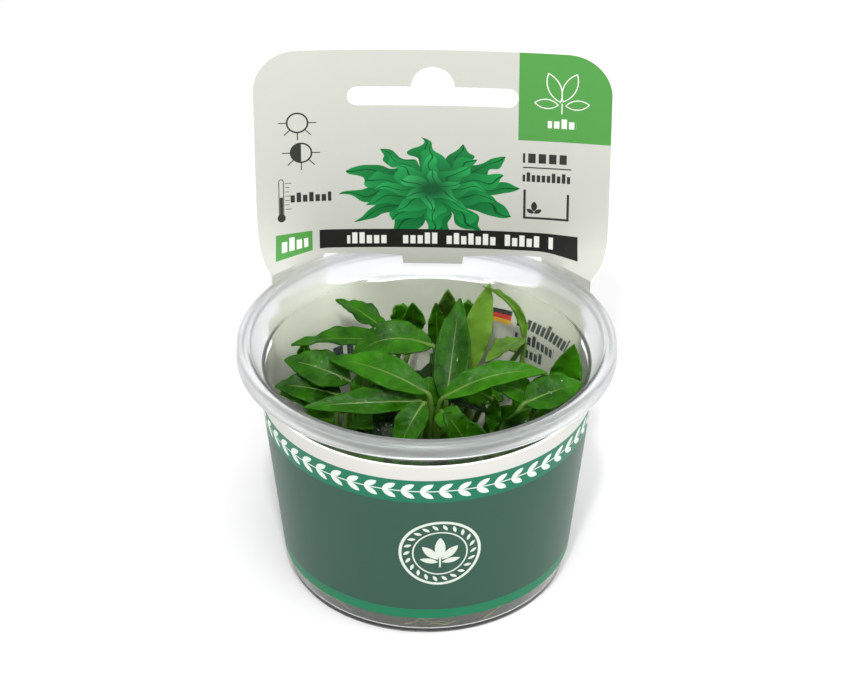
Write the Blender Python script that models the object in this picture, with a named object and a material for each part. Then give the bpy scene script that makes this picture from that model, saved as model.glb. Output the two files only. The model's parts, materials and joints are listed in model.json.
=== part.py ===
"""A cup of tissue-cultured Cryptocoryne wendtii, with the card sleeve that it hangs by.

Metres, +Z up. The origin is the middle of the cup's flat base. The front of the sleeve faces -Y and
the hanging header stands at the back, at +Y. Blender 4.5: blender --background --python part.py
"""

import math
import random

import bmesh
import bpy
from mathutils import Vector
from mathutils.bvhtree import BVHTree

MM = 0.001

# Clear cup
CUP_HEIGHT = 47.0 * MM
CUP_BASE_RADIUS = 25.3 * MM
CUP_WALL_SLOPE = 0.1053
CUP_WALL = 0.8 * MM
CUP_FLOOR = 1.2 * MM
CUP_FOOT_ROUND = 1.4 * MM
LIP_FLARE = 0.65 * MM
LIP_RISE = 0.5 * MM
STEP_HEIGHT = 42.3 * MM
RIM_RADIUS = 34.0 * MM
RIM_INNER_RADIUS = 31.5 * MM
RIM_PLATE = 0.9 * MM
RIM_ROUND = 0.3 * MM
RIM_SHOULDER = 0.7 * MM
SKIRT_DEPTH = 2.8 * MM
CUP_SEGMENTS = 60

# Card: a sleeve round the cup and a header behind it, cut from one sheet
CARD_THICKNESS = 0.4 * MM
CARD_GAP = 0.3 * MM
SLEEVE_COLUMNS = 60
SLEEVE_BOTTOM = 4.4 * MM
SLEEVE_TOP = 40.1 * MM
BULGE_START = 33.0 * MM
BULGE_END = 43.5 * MM
BULGE_FADE = 2.5
HEADER_COLUMNS = 10
HEADER_ROWS = [0.0, 2.5 * MM, 5.5 * MM, 9.5 * MM, 16.0 * MM, 27.0 * MM]
HEADER_HALF_WIDTH = 32.6 * MM
HEADER_TOP = 88.2 * MM
HEADER_PLANE = 28.9 * MM
HEADER_SHIFT = 1.1 * MM
HEADER_LEAN = math.radians(4.0)
HEADER_YAW = math.radians(-1.9)
HEADER_CURL = math.radians(7.0)
CREASE_ANGLE = math.radians(38.0)
CREASE_START = 18.2 * MM
CREASE_WIDTH = 5.5 * MM
CREASE_FADE = 5.5 * MM
HEADER_CORNER = 8.0 * MM
HANG_SLOT_WIDTH = 31.2 * MM
HANG_SLOT_HEIGHT = 3.7 * MM
HANG_SLOT_BOTTOM = 77.3 * MM
HANG_HUMP_WIDTH = 7.9 * MM
HANG_HUMP_RISE = 3.9 * MM
RIM_SLOT_LEFT = -19.2 * MM
RIM_SLOT_RIGHT = 21.4 * MM
RIM_SLOT_BOTTOM = 41.0 * MM
ROW_MARGIN = 0.4 * MM
RIM_SLOT_TOP = 47.25 * MM
RIM_SLOT_SAG = 0.6 * MM
RIM_SLOT_SAG_REACH = 12.5 * MM
RIM_SLOT_CORNER = 1.2 * MM
TAB_LEFT = -4.6 * MM
TAB_RIGHT = 6.8 * MM
TAB_BOTTOM = 45.0 * MM
TAB_TAPER = 0.2 * MM
CUTTER_NEAR = 14.0 * MM
CUTTER_FAR = 50.0 * MM

# Growing medium and plantlets
GEL_TOP = 10.0 * MM
GEL_GAP = 0.3 * MM
GEL_SEGMENTS = 24
CROWN_RADIUS = 2.0 * MM
CROWN_BOTTOM = 7.4 * MM
CROWN_TOP = 13.0 * MM
CROWN_SEGMENTS = 8
POCKET_GAP = 0.3 * MM
POCKET_DEPTH = 6.0 * MM
SHOOT_RING = 3.0 * MM
SHOOT_PLACES = 7
SHOOT_BASE = 10.7 * MM
PETIOLE_RADIUS = 0.55 * MM
NECK_BEND = 0.08
BLADE_THICKNESS = 0.5 * MM
PETIOLE_STOPS = [0.0, 0.45, 0.8]
BLADE_STEPS = 7
TIP_HALF_WIDTH = 0.15 * MM
WALL_CLEARANCE = 0.3 * MM
LEAF_CLEARANCE = 0.15 * MM
LEAF_SEED = 7
MOST_GUESSES = 400

UP = (0.0, 0.0, 1.0)
TO_FRONT = (0.0, -1.0, 0.35)
TILTED = (0.0, -0.5, 0.87)

# Where each plantlet is rooted, in millimetres
CROWNS = {
    "centre": (0.0, -1.0),
    "left": (-14.5, -1.5),
    "back_left": (-9.0, 12.5),
    "back_right": (5.0, 14.0),
    "right": (15.5, 4.0),
    "front_right": (9.5, -12.5),
    "front_left": (-6.5, -14.5),
}

# The view in which the leaves' places were read: a picture of 860 x 688 pixels, looking down on the
# middle of the rim. Lengths are in millimetres and the rest in pixels.
VIEW_RISE = math.radians(32.9)
VIEW_DISTANCE = 535.53
VIEW_AIM_HEIGHT = 47.0
VIEW_FOCAL_PIXELS = 3000.0
VIEW_AIM_ACROSS = 426.7
VIEW_AIM_DOWN = 337.7
PLACE_DIGITS = 1

# How many leaves each plantlet has below those that show in the cup's mouth
LOWER_LEAVES = {
    "centre": 1,
    "left": 2,
    "back_left": 3,
    "back_right": 1,
    "right": 1,
    "front_right": 2,
    "front_left": 3,
}

# The range that each measure of those lower leaves is drawn from, in millimetres
LOWER_REACH = (3.5, 7.5)
LOWER_LEVEL = (19.0, 28.0)
LOWER_LENGTH = (10.0, 16.0)
LOWER_RISE = (0.0, 8.0)
LOWER_WIDTH = (4.6, 7.0)
LOWER_BOW = (1.0, 2.2)


def smooth(t):
    """0 below 0, 1 above 1, and an even S-curve between."""
    t = min(max(t, 0.0), 1.0)
    return t * t * (3.0 - 2.0 * t)


def clear_scene():
    for obj in list(bpy.data.objects):
        bpy.data.objects.remove(obj, do_unlink=True)


def material(name, color, roughness, transmission=0.0, ior=1.45):
    mat = bpy.data.materials.new(name)
    mat.use_nodes = True
    shader = mat.node_tree.nodes["Principled BSDF"]
    shader.inputs["Base Color"].default_value = (*color, 1.0)
    shader.inputs["Roughness"].default_value = roughness
    shader.inputs["Metallic"].default_value = 0.0
    shader.inputs["Transmission Weight"].default_value = transmission
    shader.inputs["IOR"].default_value = ior
    return mat


def add_object(name, bm, mat=None):
    mesh = bpy.data.meshes.new(name)
    bm.to_mesh(mesh)
    bm.free()
    obj = bpy.data.objects.new(name, mesh)
    bpy.context.scene.collection.objects.link(obj)
    if mat:
        mesh.materials.append(mat)
    return obj


def shade(obj, angle=40.0):
    obj.data.shade_smooth()
    obj.data.set_sharp_from_angle(angle=math.radians(angle))


def turned(name, profile, segments, mat):
    """A solid turned about Z from a profile of (radius, height) that starts and ends on the axis."""
    bm = bmesh.new()
    points = [bm.verts.new((radius, 0.0, height)) for radius, height in profile]
    edges = [bm.edges.new(pair) for pair in zip(points, points[1:])]
    bmesh.ops.spin(
        bm,
        geom=points + edges,
        cent=(0.0, 0.0, 0.0),
        axis=(0.0, 0.0, 1.0),
        angle=2.0 * math.pi,
        steps=segments,
        use_merge=True,
    )
    bmesh.ops.remove_doubles(bm, verts=bm.verts, dist=0.00001)
    bmesh.ops.recalc_face_normals(bm, faces=bm.faces)
    obj = add_object(name, bm, mat)
    shade(obj)
    return obj


def prism(name, outline, near, far):
    """A hidden cutter: an outline of (x, z) run along Y from near to far."""
    bm = bmesh.new()
    face = bm.faces.new([bm.verts.new((x, near, z)) for x, z in outline])
    swept = bmesh.ops.extrude_face_region(bm, geom=[face])
    moved = [item for item in swept["geom"] if isinstance(item, bmesh.types.BMVert)]
    bmesh.ops.translate(bm, verts=moved, vec=(0.0, far - near, 0.0))
    bmesh.ops.recalc_face_normals(bm, faces=bm.faces)
    cutter = add_object(name, bm)
    cutter.hide_render = True
    cutter.display_type = "WIRE"
    return cutter


def cut(obj, cutter):
    modifier = obj.modifiers.new(cutter.name, "BOOLEAN")
    modifier.operation = "DIFFERENCE"
    modifier.object = cutter


def arc(centre, radius, start, end, steps):
    """Points on an arc from start to end, in degrees."""
    angles = [math.radians(start + (end - start) * i / steps) for i in range(steps + 1)]
    return [
        (centre[0] + radius * math.cos(a), centre[1] + radius * math.sin(a))
        for a in angles
    ]


# Clear cup


def cup_outer(height):
    """The wall's outer radius at a height."""
    return CUP_BASE_RADIUS + CUP_WALL_SLOPE * height


def cup_inner(height):
    return cup_outer(height) - CUP_WALL


def make_cup(mat):
    foot = CUP_FOOT_ROUND
    corner = cup_outer(foot) - foot
    under_plate = CUP_HEIGHT - RIM_PLATE
    skirt_bottom = CUP_HEIGHT - SKIRT_DEPTH
    lip_low = STEP_HEIGHT + LIP_RISE
    step_outer = cup_outer(STEP_HEIGHT)
    step_inner = cup_inner(STEP_HEIGHT)
    outside = [(0.0, 0.0)]
    outside += arc((corner, foot), foot, -90.0, 0.0, 2)
    outside += [
        (step_outer, STEP_HEIGHT),
        (step_outer + LIP_FLARE, lip_low),
        (RIM_INNER_RADIUS + RIM_ROUND, under_plate),
        (RIM_RADIUS - CUP_WALL, under_plate),
        (RIM_RADIUS - CUP_WALL, skirt_bottom),
        (RIM_RADIUS, skirt_bottom),
        (RIM_RADIUS, CUP_HEIGHT - RIM_SHOULDER),
        (RIM_RADIUS - RIM_SHOULDER, CUP_HEIGHT),
    ]
    inside = [
        (RIM_INNER_RADIUS + RIM_ROUND, CUP_HEIGHT),
        (RIM_INNER_RADIUS, CUP_HEIGHT - RIM_ROUND),
        (step_inner + LIP_FLARE, lip_low),
        (step_inner, STEP_HEIGHT),
        (cup_inner(CUP_FLOOR + foot), CUP_FLOOR + foot),
        (cup_inner(CUP_FLOOR) - foot, CUP_FLOOR),
        (0.0, CUP_FLOOR),
    ]
    return turned("cup", outside + inside, CUP_SEGMENTS, mat)


# Card sleeve and header


def sleeve_radius(height):
    """The middle of the card's thickness, where it lies on the cup's cone."""
    return cup_outer(height) + CARD_GAP + CARD_THICKNESS / 2.0


def header_row(height):
    """The header's columns at a height: a shallow curve, creased forward round the rim near its ends."""
    rise = max(height - CUP_HEIGHT, 0.0)
    crease = CREASE_ANGLE * math.exp(-rise / CREASE_FADE)
    steps = 6
    length = HEADER_HALF_WIDTH / HEADER_COLUMNS / steps
    x = y = along = 0.0
    half = [(0.0, 0.0)]
    for _ in range(HEADER_COLUMNS):
        for _ in range(steps):
            middle = along + length / 2.0
            heading = HEADER_CURL * middle / HEADER_HALF_WIDTH
            heading += crease * smooth((middle - CREASE_START) / CREASE_WIDTH)
            x += math.cos(heading) * length
            y -= math.sin(heading) * length
            along += length
        half.append((x, y))
    back = HEADER_PLANE + rise * math.tan(HEADER_LEAN)
    row = [(-px, py) for px, py in reversed(half[1:])] + half
    turn = [
        (px * math.cos(HEADER_YAW) - py * math.sin(HEADER_YAW),
         px * math.sin(HEADER_YAW) + py * math.cos(HEADER_YAW))
        for px, py in row
    ]
    return [Vector((HEADER_SHIFT + px, back + py, height)) for px, py in turn]


def collar_row(height):
    """All columns of the sleeve at a height, counted from the back: round, then let out for the rim."""
    radius = sleeve_radius(height)
    share = smooth((height - BULGE_START) / (BULGE_END - BULGE_START))
    legs = header_row(CUP_HEIGHT)
    row = []
    for column in range(-SLEEVE_COLUMNS // 2, SLEEVE_COLUMNS // 2):
        angle = 2.0 * math.pi * column / SLEEVE_COLUMNS
        on_cone = Vector((math.sin(angle), math.cos(angle), 0.0)) * radius
        side = 1 if column > 0 else -1
        past = abs(column) - HEADER_COLUMNS
        leg = legs[HEADER_COLUMNS + (column if past <= 0 else side * HEADER_COLUMNS)].copy()
        leg.z = 0.0
        if past <= 0:
            let_out = leg * max(1.0, radius / leg.length)
        else:
            extra = (leg.length - radius) * (1.0 - smooth(past / BULGE_FADE))
            let_out = on_cone * (1.0 + extra / radius)
        point = on_cone.lerp(let_out, share)
        row.append(Vector((point.x, point.y, height)))
    return row


def card_sheet():
    """The card's middle surface: the closed sleeve, with the header standing on its back columns."""
    bm = bmesh.new()
    heights = [SLEEVE_BOTTOM, BULGE_START, (BULGE_START + SLEEVE_TOP) / 2.0, SLEEVE_TOP]
    rows = [[bm.verts.new(point) for point in collar_row(z)] for z in heights]
    for lower, upper in zip(rows, rows[1:]):
        for i in range(SLEEVE_COLUMNS):
            j = (i + 1) % SLEEVE_COLUMNS
            bm.faces.new((lower[j], lower[i], upper[i], upper[j]))
    first = SLEEVE_COLUMNS // 2 - HEADER_COLUMNS
    last = first + 2 * HEADER_COLUMNS + 1
    below = rows[-1][first:last]
    header = [collar_row(RIM_SLOT_BOTTOM + ROW_MARGIN)[first:last], header_row(BULGE_END)]
    header += [header_row(CUP_HEIGHT + rise) for rise in HEADER_ROWS]
    header.append(header_row(HEADER_TOP))
    for row in header:
        above = [bm.verts.new(point) for point in row]
        for i in range(2 * HEADER_COLUMNS):
            bm.faces.new((below[i + 1], below[i], above[i], above[i + 1]))
        below = above
    bmesh.ops.recalc_face_normals(bm, faces=bm.faces)
    return bm


def hang_slot_outline():
    """A wide slot with round ends and a hump in the middle of its upper edge for a peg."""
    middle = HEADER_SHIFT
    low = HANG_SLOT_BOTTOM
    half = HANG_SLOT_HEIGHT / 2.0
    reach = HANG_SLOT_WIDTH / 2.0 - half
    hump = HANG_HUMP_WIDTH / 2.0
    top = low + HANG_SLOT_HEIGHT
    outline = arc((middle + reach, low + half), half, -90.0, 90.0, 6)
    outline += [(middle + hump + 0.8 * MM, top)]
    outline += arc((middle, top + HANG_HUMP_RISE - hump), hump, 0.0, 180.0, 8)
    outline += [(middle - hump - 0.8 * MM, top)]
    outline += arc((middle - reach, low + half), half, 90.0, 270.0, 6)
    return outline


def rim_slot_outline():
    """The slot that the cup's rim pushes through, with the short locking tab in its upper edge."""
    left, right = RIM_SLOT_LEFT, RIM_SLOT_RIGHT
    sag = RIM_SLOT_TOP - RIM_SLOT_SAG
    round_low = RIM_SLOT_CORNER
    round_top = 0.4 * MM
    outline = arc((left + round_low, RIM_SLOT_BOTTOM + round_low), round_low, 180.0, 270.0, 3)
    outline += arc((right - round_low, RIM_SLOT_BOTTOM + round_low), round_low, 270.0, 360.0, 3)
    outline += [
        (right, RIM_SLOT_TOP - round_top),
        (right - round_top, RIM_SLOT_TOP),
        (HEADER_SHIFT + RIM_SLOT_SAG_REACH, RIM_SLOT_TOP),
        (TAB_RIGHT, sag),
        (TAB_RIGHT - TAB_TAPER, TAB_BOTTOM),
        (TAB_LEFT + TAB_TAPER, TAB_BOTTOM),
        (TAB_LEFT, sag),
        (HEADER_SHIFT - RIM_SLOT_SAG_REACH, RIM_SLOT_TOP),
        (left + round_top, RIM_SLOT_TOP),
        (left, RIM_SLOT_TOP - round_top),
    ]
    return outline


def corner_outline(side):
    """The waste outside one rounded top corner of the header; side is -1 or 1."""
    edge = [point.x for point in header_row(HEADER_TOP)][0 if side < 0 else -1]
    centre = (edge - side * HEADER_CORNER, HEADER_TOP - HEADER_CORNER)
    start = (90.0, 0.0) if side > 0 else (90.0, 180.0)
    outside = 2.0 * MM
    outline = arc(centre, HEADER_CORNER, *start, 8)
    outline += [
        (edge + side * outside, centre[1]),
        (edge + side * outside, HEADER_TOP + outside),
        (centre[0], HEADER_TOP + outside),
    ]
    return outline


def make_card(mat):
    card = add_object("card_sleeve", card_sheet(), mat)
    thick = card.modifiers.new("card thickness", "SOLIDIFY")
    thick.thickness = CARD_THICKNESS
    thick.offset = 0.0
    cutters = {
        "cutter_rim_slot": rim_slot_outline(),
        "cutter_hang_slot": hang_slot_outline(),
        "cutter_corner_left": corner_outline(-1),
        "cutter_corner_right": corner_outline(1),
    }
    for name, outline in cutters.items():
        cut(card, prism(name, outline, CUTTER_NEAR, CUTTER_FAR))
    shade(card)
    return card


# Growing medium and crowns


def make_gel(mat):
    low = CUP_FLOOR + GEL_GAP
    top_radius = cup_inner(GEL_TOP) - GEL_GAP
    profile = [
        (0.0, low),
        (cup_inner(low) - GEL_GAP - CUP_FOOT_ROUND, low),
        (cup_inner(low) - GEL_GAP - 0.3 * MM, low + CUP_FOOT_ROUND),
        (top_radius, GEL_TOP + 0.6 * MM),
        (top_radius - 0.9 * MM, GEL_TOP + 0.1 * MM),
        (top_radius - 2.5 * MM, GEL_TOP),
        (0.0, GEL_TOP),
    ]
    gel = turned("gel_medium", profile, GEL_SEGMENTS, mat)
    for name, (x, y) in CROWNS.items():
        radius = CROWN_RADIUS + POCKET_GAP
        bm = bmesh.new()
        bmesh.ops.create_cone(
            bm,
            cap_ends=True,
            segments=CROWN_SEGMENTS,
            radius1=radius,
            radius2=radius,
            depth=POCKET_DEPTH,
        )
        centre = CROWN_BOTTOM - POCKET_GAP + POCKET_DEPTH / 2.0
        bmesh.ops.translate(bm, verts=bm.verts, vec=(x * MM, y * MM, centre))
        cutter = add_object("cutter_pocket_" + name, bm)
        cutter.hide_render = True
        cutter.display_type = "WIRE"
        cut(gel, cutter)
    return gel


def make_crown(name, mat):
    """The short upright rootstock of one plantlet, set in its pocket in the gel."""
    x, y = CROWNS[name]
    length = CROWN_TOP - CROWN_BOTTOM
    profile = [
        (0.0, 0.0),
        (0.7 * CROWN_RADIUS, 0.0),
        (CROWN_RADIUS, 0.2 * length),
        (0.93 * CROWN_RADIUS, 0.6 * length),
        (0.55 * CROWN_RADIUS, 0.95 * length),
        (0.0, length),
    ]
    crown = turned("crown_" + name, profile, CROWN_SEGMENTS, mat)
    crown.location = (x * MM, y * MM, CROWN_BOTTOM)
    return crown


# Leaves


def direction(curve, t):
    """The way that a curve runs at t."""
    step = 0.01
    return (curve(min(t + step, 1.0)) - curve(max(t - step, 0.0))).normalized()


class Leaf:
    """One leaf: a petiole from its crown to the neck, and a blade from the neck to the tip.

    neck and tip are in millimetres. bow is how far the blade's middle stands off the straight
    line between them. face is the way that the blade's upper side looks, fold turns its two
    halves up from the midrib, in degrees, and wave is the height of the ripples at its edges.
    """

    def __init__(self, name, crown, neck, tip, width, bow, face=UP, fold=22.0, wave=0.3):
        self.name = "leaf_" + name
        self.crown = crown
        self.neck = Vector(neck) * MM
        self.tip = Vector(tip) * MM
        self.width = width * MM
        self.face = Vector(face).normalized()
        self.fold = math.radians(fold)
        self.wave = wave * MM
        self.middle = (self.neck + self.tip) / 2.0 + Vector(bow) * 2.0 * MM
        self.base = Vector()

    def foot_at(self, place):
        """The petiole's foot at one of the places round its crown."""
        x, y = CROWNS[self.crown]
        angle = 2.0 * math.pi * place / SHOOT_PLACES
        reach = Vector((math.cos(angle), math.sin(angle), 0.0)) * SHOOT_RING
        level = SHOOT_BASE + 0.35 * MM * (place % 3)
        return Vector((x * MM, y * MM, level)) + reach

    def petiole_point(self, t):
        start = (self.middle - self.neck).normalized()
        span = (self.neck - self.base).length
        first = self.base + Vector((0.0, 0.0, 0.45 * span))
        second = self.neck - start * NECK_BEND * span
        s = 1.0 - t
        return (
            self.base * s**3 + first * 3 * s * s * t + second * 3 * s * t * t + self.neck * t**3
        )

    def blade_point(self, t):
        s = 1.0 - t
        return self.neck * s * s + self.middle * 2 * s * t + self.tip * t * t

    def half_width(self, t):
        """Half the blade's width: widest a little below its middle, and drawn out to the tip."""
        shape = math.sin(math.pi * min(max(t, 0.0), 1.0) ** 0.75) ** 0.85
        return max(self.width / 2.0 * shape, TIP_HALF_WIDTH if t > 0.5 else PETIOLE_RADIUS)

    def blade_frame(self, t):
        """The directions across the blade and up from its face at t."""
        along = direction(self.blade_point, t)
        across = along.cross(self.face).normalized()
        return across, across.cross(along)

    def petiole_section(self, t, across, extra):
        """A six-sided ring, its first corner along across."""
        centre = self.petiole_point(t)
        up = across.cross(direction(self.petiole_point, t))
        radius = PETIOLE_RADIUS * (1.15 - 0.25 * t) + extra
        ring = [(-1.0, 0.0), (-0.45, 0.8), (0.45, 0.8), (1.0, 0.0), (0.45, -0.8), (-0.45, -0.8)]
        return [centre + across * a * radius + up * b * radius for a, b in ring]

    def blade_section(self, t, extra):
        centre = self.blade_point(t)
        across, up = self.blade_frame(t)
        half = self.half_width(t)
        inner = 0.38 * half
        thin = BLADE_THICKNESS / 2.0 * (1.0 - 0.6 * t) + extra
        out = half - inner + extra
        ripple = self.wave * smooth(4.0 * t) * smooth(4.0 * (1.0 - t))
        lifts = [out * math.sin(self.fold) + ripple * math.sin(11.0 * t + p) for p in (0.4, 2.6)]
        edge = inner + out * math.cos(self.fold)
        offsets = [
            (-edge, lifts[0]),
            (-inner, thin),
            (inner, thin),
            (edge, lifts[1]),
            (inner, -thin),
            (-inner, -thin),
        ]
        return [centre + across * a + up * b for a, b in offsets]

    def sections(self, extra):
        """Cross-sections from foot to tip. The petiole's follow on from the blade's with no twist."""
        across = self.blade_frame(0.0)[0]
        petiole = []
        for t in PETIOLE_STOPS[::-1]:
            along = direction(self.petiole_point, t)
            across = (across - along * across.dot(along)).normalized()
            petiole.insert(0, self.petiole_section(t, across, extra))
        stops = [0.02 + 0.98 * i / BLADE_STEPS for i in range(BLADE_STEPS + 1)]
        return petiole + [self.blade_section(t, extra) for t in stops]

    def mesh(self, extra=0.0):
        """A closed bmesh lofted through the sections, thicker all round by extra."""
        bm = bmesh.new()
        rings = [[bm.verts.new(point) for point in ring] for ring in self.sections(extra)]
        count = len(rings[0])
        for lower, upper in zip(rings, rings[1:]):
            for i in range(count):
                j = (i + 1) % count
                bm.faces.new((lower[i], lower[j], upper[j], upper[i]))
        bm.faces.new(rings[0][::-1])
        bm.faces.new(rings[-1])
        bmesh.ops.triangulate(bm, faces=bm.faces)
        bmesh.ops.recalc_face_normals(bm, faces=bm.faces)
        return bm

    def tree(self, extra=0.0):
        bm = self.mesh(extra)
        found = BVHTree.FromBMesh(bm)
        bm.free()
        return found

    def inside_cup(self):
        """Whether every section keeps off the cup's wall and below its rim."""
        for point in (p for ring in self.sections(WALL_CLEARANCE) for p in ring):
            if math.hypot(point.x, point.y) > cup_inner(min(point.z, STEP_HEIGHT)):
                return False
            if point.z > CUP_HEIGHT:
                return False
        return True


def seen(across, down, height):
    """The place, in millimetres, that shows at a pixel of the view and has the given height."""
    rise = height - VIEW_AIM_HEIGHT
    slope = (VIEW_AIM_DOWN - down) / VIEW_FOCAL_PIXELS
    level, steep = math.cos(VIEW_RISE), math.sin(VIEW_RISE)
    y = (slope * (VIEW_DISTANCE - steep * rise) - level * rise) / (steep - slope * level)
    depth = VIEW_DISTANCE + level * y - steep * rise
    x = (across - VIEW_AIM_ACROSS) / VIEW_FOCAL_PIXELS * depth
    return round(x, PLACE_DIGITS), round(y, PLACE_DIGITS), height


# The leaves that show in the mouth of the cup. The pixel at which each blade starts and the one at
# which it ends were read by eye, and the height of each was judged. seen() works out the places.
SHOWN_LEAVES = [
    Leaf("back_left_pointer", "back_left", neck=seen(386, 331, 39.5), tip=seen(336, 299, 42.5),
         width=5.0, bow=(0, 0, 0.7)),
    Leaf("centre_folded", "centre", neck=seen(433, 346, 41.0), tip=seen(351, 361, 38.6),
         width=7.0, bow=(-1, 0, 3.1), face=TILTED, fold=16),
    Leaf("left_over_centre", "left", neck=seen(398, 345, 38.5), tip=seen(291, 344.5, 40.5),
         width=5.8, bow=(0, 0, 1.4)),
    Leaf("left_broad", "left", neck=seen(350, 381, 36.5), tip=seen(284, 359.5, 38.5),
         width=7.2, bow=(0, 0, 0.7), face=TILTED, fold=16),
    Leaf("left_puckered", "left", neck=seen(341, 396, 33.6), tip=seen(275, 386, 35.4),
         width=6.6, bow=(0, 0, 0.8), face=TILTED, fold=16),
    Leaf("left_back_small", "left", neck=seen(308, 372, 30), tip=seen(303, 341, 37.6),
         width=3.4, bow=(0, 0, 0), face=TO_FRONT),
    Leaf("bright_diagonal", "centre", neck=seen(427, 393, 38.5), tip=seen(329, 359, 40),
         width=6.4, bow=(0, 0, 1.5), face=TILTED),
    Leaf("front_left_long", "front_left", neck=seen(420, 401, 36.4), tip=seen(303, 407, 35.8),
         width=5.2, bow=(0, 0, 0.3), face=TILTED),
    Leaf("left_low", "left", neck=seen(334, 406, 30.0), tip=seen(280, 393, 33.4),
         width=6.4, bow=(0, 0, 1.2), face=TILTED),
    Leaf("front_middle", "front_left", neck=seen(424, 403, 38.0), tip=seen(393, 466, 28.5),
         width=5.6, bow=(0, -0.8, 2), face=TILTED),
    Leaf("back_left_small", "back_left", neck=seen(414, 332, 34), tip=seen(412.5, 304, 43),
         width=4.6, bow=(0, 0, 0), face=TO_FRONT),
    Leaf("back_dark", "back_right", neck=seen(438, 345, 32), tip=seen(436, 304, 42),
         width=3.6, bow=(0, 0, 0), face=TO_FRONT),
    Leaf("back_rounded", "back_right", neck=seen(447, 325, 34), tip=seen(448, 291, 44.6),
         width=4.4, bow=(0, 0, 0), face=TO_FRONT),
    Leaf("centre_upright", "centre", neck=seen(446, 404, 33.5), tip=seen(460, 298, 46.2),
         width=6.8, bow=(0, 0, 0.6), face=TILTED, fold=24),
    Leaf("behind_tall_yellow", "back_right", neck=seen(471, 325, 33), tip=seen(468, 301, 42.6),
         width=3.8, bow=(0, 0, 0), face=TO_FRONT),
    Leaf("tall_yellow", "back_right", neck=seen(466, 374, 30.5), tip=seen(490, 283, 46.4),
         width=5.6, bow=(0, 0, 0.8), face=TO_FRONT, fold=14),
    Leaf("arching_narrow", "back_right", neck=seen(523, 344, 34.8), tip=seen(483, 286, 46.4),
         width=1.7, bow=(2.4, -1.2, 2.2), face=TO_FRONT),
    Leaf("right_small_tilted", "right", neck=seen(523, 339, 36.8), tip=seen(485.6, 361, 38.2),
         width=4.4, bow=(0, 0, 0.6)),
    Leaf("right_bright_long", "centre", neck=seen(443, 398, 36.8), tip=seen(547, 372.5, 40.4),
         width=5.2, bow=(0, 0, 2.2), face=TILTED),
    Leaf("far_right_upright", "right", neck=seen(560, 392, 33), tip=seen(574, 344, 43.2),
         width=6.2, bow=(0, 0, 0), face=TO_FRONT),
    Leaf("right_pale", "right", neck=seen(535, 400, 34.9), tip=seen(493, 387, 37.2),
         width=5.2, bow=(0, 0, 1.2), face=TILTED),
    Leaf("right_broad", "front_right", neck=seen(525, 403, 36.4), tip=seen(583, 383, 38.0),
         width=7.2, bow=(0, 0, 0.4), face=TILTED),
    Leaf("right_broad_low", "right", neck=seen(512, 417, 28.4), tip=seen(549, 406, 30.2),
         width=4.8, bow=(0, 0, 1), face=TILTED),
    Leaf("front_small_tip", "front_right", neck=seen(480, 450, 32), tip=seen(469.5, 420, 38.5),
         width=4.8, bow=(0, 0, 0), face=TO_FRONT),
    Leaf("front_low_dark", "front_right", neck=seen(441, 411, 35.2), tip=seen(461, 445, 31.2),
         width=5.4, bow=(0, -0.4, 1.5), face=TILTED),
    Leaf("right_low_dark", "right", neck=seen(492, 430, 25.5), tip=seen(496, 397, 32.5),
         width=3.2, bow=(0, 0, 0.4), face=TILTED),
    Leaf("left_low_dark", "front_left", neck=seen(405, 418, 30.0), tip=seen(348, 427, 29.5),
         width=6.0, bow=(0, 0, 1), face=TILTED),
]


def leafy_guess(chance, crown, number):
    """One more leaf for the lower storey of a plantlet, at a seeded random angle and reach."""
    x, y = CROWNS[crown]
    angle = chance.uniform(0.0, 2.0 * math.pi)
    out = Vector((math.cos(angle), math.sin(angle), 0.0))
    reach = chance.uniform(*LOWER_REACH)
    level = chance.uniform(*LOWER_LEVEL)
    neck = Vector((x, y, level)) + out * reach
    length = chance.uniform(*LOWER_LENGTH)
    rise = chance.uniform(*LOWER_RISE)
    tip = neck + out * length + Vector((0.0, 0.0, rise))
    name = f"under_{crown}_{number}"
    width = chance.uniform(*LOWER_WIDTH)
    bow = (0.0, 0.0, chance.uniform(*LOWER_BOW))
    return Leaf(name, crown, neck, tip, width, bow)


def nearest_place(leaf, taken):
    """The free place round the crown that is nearest to the leaf's neck."""
    free = [place for place in range(SHOOT_PLACES) if (leaf.crown, place) not in taken]
    return min(free, key=lambda place: (leaf.foot_at(place) - leaf.neck).length)


def all_leaves():
    """The shown leaves, then lower ones that are kept where they touch nothing."""
    taken = set()
    leaves = []
    trees = []
    for leaf in SHOWN_LEAVES:
        place = nearest_place(leaf, taken)
        taken.add((leaf.crown, place))
        leaf.base = leaf.foot_at(place)
        leaves.append(leaf)
        trees.append(leaf.tree())
    chance = random.Random(LEAF_SEED)
    for crown, wanted in LOWER_LEAVES.items():
        number = 0
        for _ in range(MOST_GUESSES):
            if number == wanted:
                break
            leaf = leafy_guess(chance, crown, number + 1)
            place = nearest_place(leaf, taken)
            leaf.base = leaf.foot_at(place)
            if not leaf.inside_cup():
                continue
            tree = leaf.tree(LEAF_CLEARANCE)
            if any(tree.overlap(other) for other in trees):
                continue
            number += 1
            taken.add((leaf.crown, place))
            leaves.append(leaf)
            trees.append(leaf.tree())
    return leaves


def main():
    clear_scene()
    clear_plastic = material("clear polypropylene", (0.9, 0.93, 0.94), 0.12, 1.0, 1.49)
    card = material("printed card", (0.04, 0.12, 0.11), 0.45)
    gel = material("growing gel", (0.42, 0.40, 0.22), 0.2, 0.6, 1.34)
    stem = material("pale rootstock", (0.35, 0.42, 0.18), 0.5)
    leaf_green = material("leaf green", (0.06, 0.20, 0.02), 0.35)
    make_cup(clear_plastic)
    make_card(card)
    make_gel(gel)
    for name in CROWNS:
        make_crown(name, stem)
    for leaf in all_leaves():
        shade(add_object(leaf.name, leaf.mesh(), leaf_green), 60.0)


main()
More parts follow.
